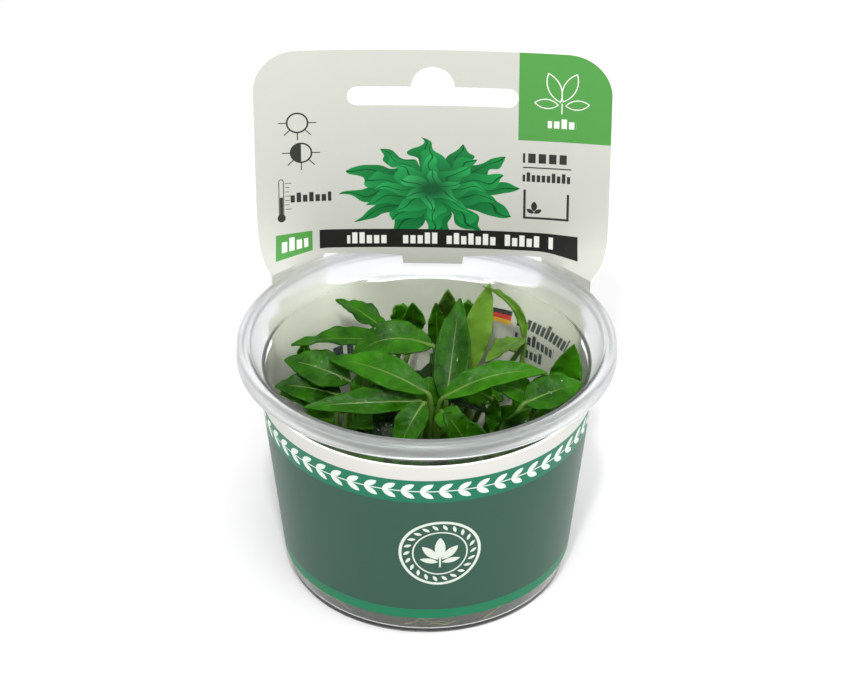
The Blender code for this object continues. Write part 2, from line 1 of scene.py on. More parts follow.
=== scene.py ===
# %% [markdown]
# A cup of small broad-leaved aquarium plants, grown in gel, as a shop hangs it on a peg. The real
# thing is a clear moulded cup, one die-cut printed card that is wrapped round the cup and stands up
# behind it, a layer of growing gel, and seven young plantlets. The solids of these pieces come in
# from the frame at their real size. This lesson gives each of them its fine shape and its finish.

# %% Load the frame
import json
import math
import random

import bmesh
import bpy
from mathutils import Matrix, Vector
from mathutils.bvhtree import BVHTree

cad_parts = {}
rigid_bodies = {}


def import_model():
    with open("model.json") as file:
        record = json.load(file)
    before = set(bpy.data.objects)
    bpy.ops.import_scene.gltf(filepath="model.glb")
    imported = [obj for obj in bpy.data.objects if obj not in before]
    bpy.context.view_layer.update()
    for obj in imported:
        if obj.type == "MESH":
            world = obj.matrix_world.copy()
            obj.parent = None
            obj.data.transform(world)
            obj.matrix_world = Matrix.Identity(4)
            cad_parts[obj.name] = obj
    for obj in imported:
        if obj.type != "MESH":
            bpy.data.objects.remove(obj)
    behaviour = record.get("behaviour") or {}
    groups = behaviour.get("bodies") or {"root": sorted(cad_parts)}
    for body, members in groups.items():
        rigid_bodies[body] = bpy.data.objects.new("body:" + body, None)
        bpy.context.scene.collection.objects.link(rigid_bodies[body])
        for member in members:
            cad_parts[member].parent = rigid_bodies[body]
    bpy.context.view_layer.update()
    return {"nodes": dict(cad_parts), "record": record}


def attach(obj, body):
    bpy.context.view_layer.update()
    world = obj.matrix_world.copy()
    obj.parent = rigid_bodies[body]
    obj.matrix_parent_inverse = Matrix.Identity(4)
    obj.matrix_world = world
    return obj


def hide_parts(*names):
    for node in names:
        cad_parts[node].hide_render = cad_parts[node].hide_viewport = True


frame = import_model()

MM = 0.001

# %% [markdown]
# The photographer stood well back and looked down into the cup at about a third of a right angle.
# A long lens at the true distance gives the same gentle perspective, and a very small shift puts
# the cup where it stands in the picture, a little left of and above the middle.

# %% Camera
PICTURE_WIDTH = 860
PICTURE_HEIGHT = 688
CAMERA_AIM = Vector((0.0, 0.0, 47.0)) * MM
CAMERA_RISE = math.radians(32.9)
CAMERA_DISTANCE = 535.53 * MM
FOCAL_PIXELS = 3000
AIM_LEFT_OF_MIDDLE = 3.3
AIM_ABOVE_MIDDLE = 6.3

camera_data = bpy.data.cameras.new("camera")
camera_data.sensor_width = 36.0
camera_data.lens = camera_data.sensor_width * FOCAL_PIXELS / PICTURE_WIDTH
camera_data.shift_x = AIM_LEFT_OF_MIDDLE / PICTURE_WIDTH
camera_data.shift_y = -AIM_ABOVE_MIDDLE / PICTURE_WIDTH
camera_data.clip_start = 10.0 * MM
camera = bpy.data.objects.new("camera", camera_data)
bpy.context.scene.collection.objects.link(camera)
toward_camera = Vector((0.0, -math.cos(CAMERA_RISE), math.sin(CAMERA_RISE)))
camera.location = CAMERA_AIM + toward_camera * CAMERA_DISTANCE
camera.rotation_euler = (math.pi / 2.0 - CAMERA_RISE, 0.0, 0.0)
bpy.context.scene.camera = camera
print("camera at", [round(v / MM, 1) for v in camera.location], "mm, lens", round(camera_data.lens, 1))

# %% [markdown]
# The light is a plain product set: a white sweep, a broad lamp above and in front that makes the
# soft shading, and a small hard lamp that makes the wet sparkle on the leaves and the thin bright
# lines on the rim. The plain Standard view keeps a white card white.

# %% Light and floor
WORLD_STRENGTH = 0.66
LAMPS = {
    "broad lamp": {"place": (0, -300, 700), "size": 460, "power": 2.4},
    "hard lamp": {"place": (-20, -330, 520), "size": 30, "power": 1.0},
    "side lamp": {"place": (420, -60, 360), "size": 300, "power": 0.6},
}


def add_lamp(name, place, size, power):
    data = bpy.data.lights.new(name, "AREA")
    data.size = size * MM
    data.energy = power
    lamp = bpy.data.objects.new(name, data)
    lamp.location = Vector(place) * MM
    lamp.rotation_euler = (CAMERA_AIM - lamp.location).to_track_quat("-Z", "Y").to_euler()
    bpy.context.scene.collection.objects.link(lamp)


for lamp_name, lamp in LAMPS.items():
    add_lamp(lamp_name, **lamp)

world = bpy.data.worlds.new("white sweep")
world.use_nodes = True
world.node_tree.nodes["Background"].inputs["Color"].default_value = (1.0, 1.0, 1.0, 1.0)
world.node_tree.nodes["Background"].inputs["Strength"].default_value = WORLD_STRENGTH
bpy.context.scene.world = world
bpy.context.scene.view_settings.view_transform = "Standard"
print("lamps", ", ".join(LAMPS))

# %% [markdown]
# A material here is a small tree of nodes. One helper adds a node, sets it, and plugs a link or a
# value into each of its inputs, so a pattern reads as a list of steps. Colours are written as the
# hex values that a paint chart gives, and one function turns them to the linear values of a render.

# %% Helpers for materials


def paint(code):
    """The linear colour of an sRGB hex value such as #2B765C."""
    parts = [int(code[i : i + 2], 16) / 255.0 for i in (1, 3, 5)]
    linear = [c / 12.92 if c <= 0.04045 else ((c + 0.055) / 1.055) ** 2.4 for c in parts]
    return (*linear, 1.0)


def add(tree, kind, *values, out=0, named=None, **settings):
    """Adds a node: its settings, then a link or a value for each input. Gives back one output."""
    node = tree.nodes.new(kind)
    for name, value in settings.items():
        setattr(node, name, value)
    for place, value in [*enumerate(values), *(named or {}).items()]:
        if isinstance(value, bpy.types.NodeSocket):
            tree.links.new(value, node.inputs[place])
        elif value is not None:
            node.inputs[place].default_value = value
    return node.outputs[out]


def new_material(name, **values):
    """A material with its Principled shader's plain values set, and its tree and shader."""
    mat = bpy.data.materials.new(name)
    mat.use_nodes = True
    shader = mat.node_tree.nodes["Principled BSDF"]
    for key, value in values.items():
        shader.inputs[key.replace("_", " ").title().replace("Ior", "IOR")].default_value = value
    return mat, mat.node_tree, shader


# The places of a Mix node's inputs and output when it mixes colours
SHARE, FIRST, SECOND, MIXED = 0, 6, 7, 2
print("one helper for nodes, one for materials, one for colours")

# %% [markdown]
# The floor is a matt white board. A trace of large, soft unevenness keeps it from being dead flat.

# %% Floor
floor_paint, tree, shader = new_material("matt white board", base_color=paint("#FBFBFA"), roughness=0.8)
place = add(tree, "ShaderNodeTexCoord", out=3)
cloud = add(tree, "ShaderNodeTexNoise", named={"Vector": place, "Scale": 6.0, "Detail": 2.0})
colour = add(
    tree, "ShaderNodeMix", out=MIXED, data_type="RGBA",
    named={SHARE: cloud, FIRST: paint("#F8F8F7"), SECOND: paint("#FDFDFD")},
)
tree.links.new(colour, shader.inputs["Base Color"])

floor_mesh = bmesh.new()
bmesh.ops.create_grid(floor_mesh, x_segments=1, y_segments=1, size=2.0)
floor_data = bpy.data.meshes.new("floor")
floor_mesh.to_mesh(floor_data)
floor_mesh.free()
floor_data.materials.append(floor_paint)
floor = bpy.data.objects.new("floor", floor_data)
bpy.context.scene.collection.objects.link(floor)
print("floor board", round(floor.dimensions.x, 2), "m")

# %% [markdown]
# Every finished piece goes the same way. Its bmesh becomes an object at the origin, its modifiers
# are applied, it rides on the one body, and it stands for the plain solid whose place it takes.

# %% Helpers for pieces


def new_piece(name, bm, *materials):
    mesh = bpy.data.meshes.new(name)
    bm.to_mesh(mesh)
    bm.free()
    for mat in materials:
        mesh.materials.append(mat)
    piece = bpy.data.objects.new(name, mesh)
    bpy.context.scene.collection.objects.link(piece)
    return piece


def applied(piece, angle=40.0):
    """Turns the piece's modifiers into plain mesh, and shades it smooth except at real corners."""
    graph = bpy.context.evaluated_depsgraph_get()
    mesh = bpy.data.meshes.new_from_object(piece.evaluated_get(graph))
    piece.modifiers.clear()
    piece.data = mesh
    mesh.shade_smooth()
    mesh.set_sharp_from_angle(angle=math.radians(angle))
    return piece


def finished(piece, slot, *nodes):
    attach(piece, "root")
    if nodes:
        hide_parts(*nodes)
    print(piece.name, "has", len(piece.data.polygons), "faces")
    return piece


def smooth(t):
    """0 below 0, 1 above 1, and an even S-curve between."""
    t = min(max(t, 0.0), 1.0)
    return t * t * (3.0 - 2.0 * t)


def turned(profile, segments):
    """A bmesh turned about Z from a profile of (radius, height) that starts and ends on the axis."""
    bm = bmesh.new()
    points = [bm.verts.new((radius, 0.0, height)) for radius, height in profile]
    edges = [bm.edges.new(pair) for pair in zip(points, points[1:])]
    bmesh.ops.spin(
        bm,
        geom=points + edges,
        cent=(0.0, 0.0, 0.0),
        axis=(0.0, 0.0, 1.0),
        angle=2.0 * math.pi,
        steps=segments,
        use_merge=True,
    )
    bmesh.ops.remove_doubles(bm, verts=bm.verts, dist=0.00001)
    bmesh.ops.recalc_face_normals(bm, faces=bm.faces)
    return bm


def arc(centre, radius, start, end, steps):
    """Points on an arc from start to end, in degrees."""
    angles = [math.radians(start + (end - start) * i / steps) for i in range(steps + 1)]
    return [(centre[0] + radius * math.cos(a), centre[1] + radius * math.sin(a)) for a in angles]


print("helpers for pieces are ready")

# %% [markdown]
# The cup is moulded in clear polypropylene, as food and culture cups are: thin walls with a slight
# taper, a step below the mouth, and a flat rim with a turned-down skirt that a lid would snap on.
# It is one profile turned round the axis. The rim's bead, its groove and the rounded edges are what
# catch the light in thin lines, so they are all in the profile. Thin polypropylene is clear, and
# where it is thick, at the rim, it looks milky, so the faces up there have a rougher finish. The
# floor is thinner and the rounding of the foot tighter than the solid's, because a thick one shows
# as a bright line under the gel. The cup casts no shadow, because the renderer would stop the lamps'
# light at the clear wall, and the leaves inside would stand in the dark.

# %% Cup
CUP_HEIGHT = 47.0 * MM
CUP_BASE_RADIUS = 25.3 * MM
CUP_WALL_SLOPE = 0.1053
CUP_WALL = 0.8 * MM
CUP_FLOOR = 0.7 * MM
CUP_FOOT_ROUND = 0.6 * MM
LIP_FLARE = 0.65 * MM
LIP_RISE = 0.5 * MM
STEP_HEIGHT = 42.3 * MM
RIM_RADIUS = 34.0 * MM
RIM_INNER_RADIUS = 31.5 * MM
RIM_PLATE = 0.9 * MM
RIM_ROUND = 0.3 * MM
RIM_SHOULDER = 0.7 * MM
SKIRT_DEPTH = 2.8 * MM
GROOVE = 0.14 * MM
CUP_SEGMENTS = 160


def cup_outer(height):
    return CUP_BASE_RADIUS + CUP_WALL_SLOPE * height


def cup_inner(height):
    return cup_outer(height) - CUP_WALL


def cup_profile():
    foot = CUP_FOOT_ROUND
    corner = cup_outer(foot) - foot
    top = CUP_HEIGHT
    skirt_bottom = top - SKIRT_DEPTH
    lip_low = STEP_HEIGHT + LIP_RISE
    shoulder = (RIM_RADIUS - RIM_SHOULDER, top - RIM_SHOULDER)
    points = [(0.0, 0.0)]
    points += arc((corner, foot), foot, -90.0, 0.0, 8)
    points += [
        (cup_outer(STEP_HEIGHT) - 0.02 * MM, STEP_HEIGHT - 0.1 * MM),
        (cup_outer(STEP_HEIGHT) + 0.1 * MM, STEP_HEIGHT + 0.1 * MM),
        (cup_outer(STEP_HEIGHT) + LIP_FLARE, lip_low),
        (RIM_INNER_RADIUS + RIM_ROUND, top - RIM_PLATE),
        (RIM_RADIUS - CUP_WALL, top - RIM_PLATE),
        (RIM_RADIUS - CUP_WALL, skirt_bottom + 0.1 * MM),
        (RIM_RADIUS - CUP_WALL + 0.1 * MM, skirt_bottom),
        (RIM_RADIUS - 0.1 * MM, skirt_bottom),
        (RIM_RADIUS, skirt_bottom + 0.1 * MM),
        (RIM_RADIUS, skirt_bottom + 0.7 * MM),
        (RIM_RADIUS - GROOVE, skirt_bottom + 0.9 * MM),
    ]
    groove_top = shoulder[1] + 0.2 * MM
    for x, z in arc(shoulder, RIM_SHOULDER, 0.0, 90.0, 6):
        points.append((x - (GROOVE if z < groove_top else 0.0), z))
    points += [
        (RIM_INNER_RADIUS + 1.3 * MM, top),
        (RIM_INNER_RADIUS + 1.1 * MM, top - GROOVE),
        (RIM_INNER_RADIUS + 0.7 * MM, top - GROOVE),
        (RIM_INNER_RADIUS + 0.5 * MM, top),
    ]
    points += arc((RIM_INNER_RADIUS + RIM_ROUND, top - RIM_ROUND), RIM_ROUND, 90.0, 180.0, 4)
    points += [
        (cup_inner(STEP_HEIGHT) + LIP_FLARE, lip_low),
        (cup_inner(STEP_HEIGHT) + 0.1 * MM, STEP_HEIGHT + 0.1 * MM),
        (cup_inner(STEP_HEIGHT) - 0.02 * MM, STEP_HEIGHT - 0.1 * MM),
    ]
    inner_corner = (cup_inner(CUP_FLOOR + foot) - foot, CUP_FLOOR + foot)
    points += arc(inner_corner, foot, 0.0, -90.0, 6)
    points.append((0.0, CUP_FLOOR))
    return points


MILKY_ABOVE = 42.6 * MM


def polypropylene(name, transmission, roughness):
    mat, tree, shader = new_material(name, roughness=roughness, ior=1.49, transmission_weight=transmission)
    place = add(tree, "ShaderNodeTexCoord", out=3)
    flow = add(tree, "ShaderNodeTexNoise", named={"Vector": place, "Scale": 60.0, "Detail": 2.0})
    colour = add(
        tree, "ShaderNodeMix", out=MIXED, data_type="RGBA",
        named={SHARE: flow, FIRST: paint("#F6F9FD"), SECOND: paint("#FDFDFE")},
    )
    tree.links.new(colour, shader.inputs["Base Color"])
    return mat


clear_wall = polypropylene("clear moulded polypropylene", 0.985, 0.1)
milky_rim = polypropylene("thick milky polypropylene", 0.965, 0.28)
cup = new_piece("cup_clear", turned(cup_profile(), CUP_SEGMENTS), clear_wall, milky_rim)
for face in cup.data.polygons:
    face.material_index = int(face.center.z > MILKY_ABOVE)
cup.data.shade_smooth()
cup.data.set_sharp_from_angle(angle=math.radians(35.0))
cup.visible_shadow = False
finished(cup, "clear_cup", "cup")

# %% [markdown]
# The card is one sheet of coated board 0.4 mm thick. A ring of columns is wrapped round the cup, its
# back columns are let out round the rim, and the header goes straight up from them. The rows of the
# sheet are extruded from one circle of edges and set in place by the same rule as the solid's, in
# finer steps. Solidify gives the thickness, and the slots are punched with Booleans.

# %% Card sheet
CARD_THICKNESS = 0.4 * MM
CARD_GAP = 0.3 * MM
SLEEVE_COLUMNS = 180
SLEEVE_BOTTOM = 4.4 * MM
SLEEVE_TOP = 40.1 * MM
BULGE_START = 33.0 * MM
BULGE_END = 43.5 * MM
HEADER_COLUMNS = SLEEVE_COLUMNS // 6
BULGE_FADE = 0.25 * HEADER_COLUMNS
HEADER_HALF_WIDTH = 32.6 * MM
HEADER_TOP = 88.2 * MM
HEADER_PLANE = 28.9 * MM
HEADER_SHIFT = 1.1 * MM
HEADER_LEAN = math.radians(4.0)
HEADER_YAW = math.radians(-1.9)
HEADER_CURL = math.radians(7.0)
CREASE_ANGLE = math.radians(38.0)
CREASE_START = 18.2 * MM
CREASE_WIDTH = 5.5 * MM
CREASE_FADES = (4.6 * MM, 2.8 * MM)
SLEEVE_ROWS = [12.0, 22.0, 33.0, 34.5, 36.0, 37.4, 38.8]
HEADER_ROWS = [0.0, 1.2, 2.5, 4.0, 5.5, 7.5, 9.5, 12.5, 16.0, 21.0, 27.0]


def header_row(height):
    """The header's columns at a height: a shallow curve, creased forward round the rim near its ends."""
    rise = max(height - CUP_HEIGHT, 0.0)
    steps = 2
    length = HEADER_HALF_WIDTH / HEADER_COLUMNS / steps
    halves = []
    for fade in CREASE_FADES:
        crease = CREASE_ANGLE * math.exp(-rise / fade)
        x = y = 0.0
        half = [(0.0, 0.0)]
        for step in range(steps * HEADER_COLUMNS):
            middle = (step + 0.5) * length
            heading = HEADER_CURL * middle / HEADER_HALF_WIDTH
            heading += crease * smooth((middle - CREASE_START) / CREASE_WIDTH)
            x += math.cos(heading) * length
            y -= math.sin(heading) * length
            half.append((x, y))
        halves.append(half[::steps])
    back = HEADER_PLANE + rise * math.tan(HEADER_LEAN)
    row = [(-px, py) for px, py in reversed(halves[0][1:])] + halves[1]
    turn = [
        (px * math.cos(HEADER_YAW) - py * math.sin(HEADER_YAW),
         px * math.sin(HEADER_YAW) + py * math.cos(HEADER_YAW))
        for px, py in row
    ]
    return [Vector((HEADER_SHIFT + px, back + py, height)) for px, py in turn]


def collar_row(height):
    """All columns of the sleeve at a height, counted from the back: round, then let out for the rim."""
    radius = cup_outer(height) + CARD_GAP + CARD_THICKNESS / 2.0
    share = smooth((height - BULGE_START) / (BULGE_END - BULGE_START))
    legs = header_row(CUP_HEIGHT)
    row = []
    for column in range(-SLEEVE_COLUMNS // 2, SLEEVE_COLUMNS // 2):
        angle = 2.0 * math.pi * column / SLEEVE_COLUMNS
        on_cone = Vector((math.sin(angle), math.cos(angle), 0.0)) * radius
        side = 1 if column > 0 else -1
        past = abs(column) - HEADER_COLUMNS
        leg = legs[HEADER_COLUMNS + (column if past <= 0 else side * HEADER_COLUMNS)].copy()
        leg.z = 0.0
        if past <= 0:
            let_out = leg * max(1.0, radius / leg.length)
        else:
            extra = (leg.length - radius) * (1.0 - smooth(past / BULGE_FADE))
            let_out = on_cone * (1.0 + extra / radius)
        point = on_cone.lerp(let_out, share)
        row.append(Vector((point.x, point.y, height)))
    return row


def raise_row(bm, edges, points, order):
    """Extrudes a row of edges and sets the new corners, taken in their order, at the given points."""
    grown = bmesh.ops.extrude_edge_only(bm, edges=edges)["geom"]
    corners = [item for item in grown if isinstance(item, bmesh.types.BMVert)]
    corners.sort(key=lambda corner: corner[order])
    for corner, point in zip(corners, points):
        corner.co = point
    return [item for item in grown if isinstance(item, bmesh.types.BMEdge)]


def card_sheet():
    """The middle surface of the card: the closed sleeve, with the header standing on its back columns."""
    bm = bmesh.new()
    order = bm.verts.layers.int.new("column")
    ring = bmesh.ops.create_circle(bm, cap_ends=False, segments=SLEEVE_COLUMNS, radius=1.0)["verts"]
    for corner in ring:
        angle = math.atan2(corner.co.x, corner.co.y)
        corner[order] = round(angle / (2.0 * math.pi) * SLEEVE_COLUMNS) % SLEEVE_COLUMNS
        if corner[order] >= SLEEVE_COLUMNS // 2:
            corner[order] -= SLEEVE_COLUMNS
    for corner, point in zip(sorted(ring, key=lambda c: c[order]), collar_row(SLEEVE_BOTTOM)):
        corner.co = point
    edges = list(bm.edges)
    for height in [*(row * MM for row in SLEEVE_ROWS), SLEEVE_TOP]:
        edges = raise_row(bm, edges, collar_row(height), order)
    first = SLEEVE_COLUMNS // 2 - HEADER_COLUMNS
    last = first + 2 * HEADER_COLUMNS + 1
    edges = [e for e in edges if all(abs(v[order]) <= HEADER_COLUMNS for v in e.verts)]
    rows = [collar_row(41.4 * MM)[first:last], header_row(BULGE_END), header_row(45.2 * MM)]
    rows += [header_row(CUP_HEIGHT + rise * MM) for rise in HEADER_ROWS] + [header_row(HEADER_TOP)]
    for row in rows:
        edges = raise_row(bm, edges, row, order)
    bmesh.ops.recalc_face_normals(bm, faces=bm.faces)
    return bm


print("card", CARD_THICKNESS / MM, "mm thick in", SLEEVE_COLUMNS, "columns")

# %% [markdown]
# Five things are punched out of the card: the slot that a shop peg goes through, with a hump for a
# round peg, the slot for the cup's rim, with a short tab that locks over it, and the waste at the
# two round corners. Each is an outline run from front to back, and each outline is arcs and corners.

# %% Punched outlines
HANG_SLOT_WIDTH = 31.2 * MM
HANG_SLOT_HEIGHT = 3.7 * MM
HANG_SLOT_BOTTOM = 77.3 * MM
HANG_HUMP_WIDTH = 7.9 * MM
HANG_HUMP_RISE = 3.9 * MM
HUMP_FOOT = 0.8 * MM
RIM_SLOT_LEFT = -19.2 * MM
RIM_SLOT_RIGHT = 21.4 * MM
RIM_SLOT_BOTTOM = 41.0 * MM
RIM_SLOT_TOP = 47.25 * MM
RIM_SLOT_SAG = 0.6 * MM
RIM_SLOT_SAG_REACH = 12.5 * MM
RIM_SLOT_CORNER = 1.2 * MM
TAB_LEFT = -4.6 * MM
TAB_RIGHT = 6.8 * MM
TAB_BOTTOM = 45.0 * MM
TAB_TAPER = 0.2 * MM
HEADER_CORNER = 8.0 * MM
PUNCH_NEAR = 14.0 * MM
PUNCH_FAR = 50.0 * MM


def hang_slot_outline():
    middle = HEADER_SHIFT
    half = HANG_SLOT_HEIGHT / 2.0
    reach = HANG_SLOT_WIDTH / 2.0 - half
    hump = HANG_HUMP_WIDTH / 2.0
    top = HANG_SLOT_BOTTOM + HANG_SLOT_HEIGHT
    outline = arc((middle + reach, HANG_SLOT_BOTTOM + half), half, -90.0, 90.0, 16)
    outline += [(middle + hump + HUMP_FOOT, top)]
    outline += arc((middle, top + HANG_HUMP_RISE - hump), hump, 0.0, 180.0, 24)
    outline += [(middle - hump - HUMP_FOOT, top)]
    outline += arc((middle - reach, HANG_SLOT_BOTTOM + half), half, 90.0, 270.0, 16)
    return outline


def rim_slot_outline():
    left, right = RIM_SLOT_LEFT, RIM_SLOT_RIGHT
    sag = RIM_SLOT_TOP - RIM_SLOT_SAG
    low = RIM_SLOT_CORNER
    high = 0.4 * MM
    outline = arc((left + low, RIM_SLOT_BOTTOM + low), low, 180.0, 270.0, 6)
    outline += arc((right - low, RIM_SLOT_BOTTOM + low), low, 270.0, 360.0, 6)
    outline += arc((right - high, RIM_SLOT_TOP - high), high, 0.0, 90.0, 3)
    outline += [
        (HEADER_SHIFT + RIM_SLOT_SAG_REACH, RIM_SLOT_TOP),
        (TAB_RIGHT, sag),
        (TAB_RIGHT - TAB_TAPER, TAB_BOTTOM),
        (TAB_LEFT + TAB_TAPER, TAB_BOTTOM),
        (TAB_LEFT, sag),
        (HEADER_SHIFT - RIM_SLOT_SAG_REACH, RIM_SLOT_TOP),
    ]
    outline += arc((left + high, RIM_SLOT_TOP - high), high, 90.0, 180.0, 3)
    return outline


def corner_outline(side):
    edge = [point.x for point in header_row(HEADER_TOP)][0 if side < 0 else -1]
    centre = (edge - side * HEADER_CORNER, HEADER_TOP - HEADER_CORNER)
    start = (90.0, 0.0) if side > 0 else (90.0, 180.0)
    outside = 2.0 * MM
    outline = arc(centre, HEADER_CORNER, *start, 24)
    outline += [
        (edge + side * outside, centre[1]),
        (edge + side * outside, HEADER_TOP + outside),
        (centre[0], HEADER_TOP + outside),
    ]
    return outline


def punch(card, name, outline, slot):
    """Cuts an outline out of the card; the cut edge takes the material of the given slot."""
    bm = bmesh.new()
    face = bm.faces.new([bm.verts.new((x, PUNCH_NEAR, z)) for x, z in outline])
    swept = bmesh.ops.extrude_face_region(bm, geom=[face])
    moved = [item for item in swept["geom"] if isinstance(item, bmesh.types.BMVert)]
    bmesh.ops.translate(bm, verts=moved, vec=(0.0, PUNCH_FAR - PUNCH_NEAR, 0.0))
    bmesh.ops.recalc_face_normals(bm, faces=bm.faces)
    for face in bm.faces:
        face.material_index = slot
    tool = new_piece("punch_" + name, bm, *card.data.materials)
    cut = card.modifiers.new(name, "BOOLEAN")
    cut.operation = "DIFFERENCE"
    cut.object = tool
    return tool


print("the peg slot is", HANG_SLOT_WIDTH / MM, "mm wide")

# %% [markdown]
# The print is ink on the card, so it is colour and never relief. It is drawn with a few shapes that
# are measured in millimetres: how far a point is from a straight bar, and how far it is outside a
# leaf. A bar with no length is a dot, a bar's outline is a ring, and a leaf is where two circles
# overlap. Wording is left off: rows of plain blocks or a border of small leaves take its place.

# %% Print shapes
INK_EDGE = 0.06
SLEEVE_PRINT_RADIUS = 28.6 * MM


def off_bar(tree, place, centre, half=(0.0, 0.0), turn=0.0):
    """The distance from a point to a bar of half-size half, in the units of place."""
    moved = add(tree, "ShaderNodeVectorMath", place, (*centre, 0.0), operation="SUBTRACT")
    if turn:
        moved = add(tree, "ShaderNodeVectorRotate", moved, named={"Angle": -turn}, rotation_type="Z_AXIS")
    folded = add(tree, "ShaderNodeVectorMath", moved, operation="ABSOLUTE")
    beyond = add(tree, "ShaderNodeVectorMath", folded, (*half, 0.0), operation="SUBTRACT")
    outside = add(tree, "ShaderNodeVectorMath", beyond, (0.0, 0.0, 0.0), operation="MAXIMUM")
    return add(tree, "ShaderNodeVectorMath", outside, out=1, operation="LENGTH")


def off_leaf(tree, place, centre, length, width, turn=0.0):
    """How far a point is outside a pointed leaf of that length and width; less than 0 is inside."""
    moved = add(tree, "ShaderNodeVectorMath", place, (*centre, 0.0), operation="SUBTRACT")
    if turn:
        moved = add(tree, "ShaderNodeVectorRotate", moved, named={"Angle": -turn}, rotation_type="Z_AXIS")
    half, rise = length / 2.0, width / 2.0
    radius = (half * half + rise * rise) / (2.0 * rise)
    folded = add(tree, "ShaderNodeVectorMath", moved, operation="ABSOLUTE")
    lifted = add(tree, "ShaderNodeVectorMath", folded, (0.0, radius - rise, 0.0), operation="ADD")
    reach = add(tree, "ShaderNodeVectorMath", lifted, out=1, operation="LENGTH")
    return add(tree, "ShaderNodeMath", reach, radius, operation="SUBTRACT")


def inked(tree, distance, line=None, reach=0.0):
    """1 within reach of a shape, or on a line of that width along its outline."""
    if line is None:
        return add(tree, "ShaderNodeMath", distance, reach, operation="LESS_THAN")
    return add(tree, "ShaderNodeMath", distance, reach, line / 2.0, operation="COMPARE")


def either(tree, *masks):
    """1 where any of the masks is 1."""
    whole = masks[0]
    for mask in masks[1:]:
        whole = add(tree, "ShaderNodeMath", whole, mask, operation="MAXIMUM")
    return whole


def both(tree, *masks):
    """1 where all of the masks are 1."""
    whole = masks[0]
    for mask in masks[1:]:
        whole = add(tree, "ShaderNodeMath", whole, mask, operation="MULTIPLY")
    return whole


def block(tree, place, left, right, low, high, turn=0.0):
    """A rectangle with crisp corners."""
    centre = ((left + right) / 2.0, (low + high) / 2.0)
    half = ((right - left) / 2.0 - INK_EDGE, (high - low) / 2.0 - INK_EDGE)
    return inked(tree, off_bar(tree, place, centre, half, turn), reach=INK_EDGE)


def spokes(tree, place, centre, count, start=0.0):
    """Folds the plane round a centre into one of count equal sectors, which then lies along +X."""
    moved = add(tree, "ShaderNodeVectorMath", place, (*centre, 0.0), operation="SUBTRACT")
    reach = add(tree, "ShaderNodeVectorMath", moved, out=1, operation="LENGTH")
    parts = tree.nodes.new("ShaderNodeSeparateXYZ")
    tree.links.new(moved, parts.inputs[0])
    angle = add(tree, "ShaderNodeMath", parts.outputs[1], parts.outputs[0], operation="ARCTAN2")
    angle = add(tree, "ShaderNodeMath", angle, start, operation="SUBTRACT")
    sector = math.pi / count
    angle = add(tree, "ShaderNodeMath", angle, sector, -sector, operation="WRAP")
    x = add(tree, "ShaderNodeMath", angle, operation="COSINE")
    y = add(tree, "ShaderNodeMath", angle, operation="SINE")
    x = add(tree, "ShaderNodeMath", x, reach, operation="MULTIPLY")
    y = add(tree, "ShaderNodeMath", y, reach, operation="MULTIPLY")
    return add(tree, "ShaderNodeCombineXYZ", x, y)


def word_blocks(tree, place, left, right, base, height, pitch, seed, gaps=0.0):
    """A line of plain blocks, one for each letter of a line of wording, with gaps as between words."""
    parts = tree.nodes.new("ShaderNodeSeparateXYZ")
    tree.links.new(place, parts.inputs[0])
    across, up = parts.outputs[0], parts.outputs[1]
    count = add(tree, "ShaderNodeMath", across, 1.0 / pitch, seed, operation="MULTIPLY_ADD")
    cell = add(tree, "ShaderNodeMath", count, operation="FLOOR")
    share = add(tree, "ShaderNodeMath", count, operation="FRACT")
    chance = add(tree, "ShaderNodeTexWhiteNoise", named={"W": cell}, noise_dimensions="1D")
    stroke = add(tree, "ShaderNodeMath", share, 0.5, 0.36, operation="COMPARE")
    letter = add(tree, "ShaderNodeMath", chance, gaps, operation="GREATER_THAN")
    tall = add(tree, "ShaderNodeMath", chance, 0.62, operation="GREATER_THAN")
    top = add(tree, "ShaderNodeMath", tall, 0.26 * height, base + 0.74 * height, operation="MULTIPLY_ADD")
    under = add(tree, "ShaderNodeMath", up, top, operation="LESS_THAN")
    over = add(tree, "ShaderNodeMath", up, base, operation="GREATER_THAN")
    middle, half = (left + right) / 2.0, (right - left) / 2.0
    within = add(tree, "ShaderNodeMath", across, middle, half, operation="COMPARE")
    return both(tree, stroke, letter, under, over, within)


def card_place(tree, front):
    """The point on the card in millimetres: round the sleeve from its front or from its back, and up."""
    spot = add(tree, "ShaderNodeTexCoord", out=3)
    parts = tree.nodes.new("ShaderNodeSeparateXYZ")
    tree.links.new(spot, parts.inputs[0])
    x, y, z = parts.outputs
    facing = add(tree, "ShaderNodeMath", y, -1.0 if front else 1.0, operation="MULTIPLY")
    angle = add(tree, "ShaderNodeMath", x, facing, operation="ARCTAN2")
    around = add(tree, "ShaderNodeMath", angle, SLEEVE_PRINT_RADIUS / MM, operation="MULTIPLY")
    up = add(tree, "ShaderNodeMath", z, 1.0 / MM, operation="MULTIPLY")
    return add(tree, "ShaderNodeCombineXYZ", around, up)


print("printed shapes have an edge of", INK_EDGE, "mm")

# %% [markdown]
# Coated board has a smooth clay surface with a soft sheen and a faint mottle of fibres. All printed
# faces share it: one sheen all over, and a very low relief from a fine noise. Real paper fibres are
# finer than the render can show, so the noise is drawn as coarse as it needs to be seen.

# %% Coated board


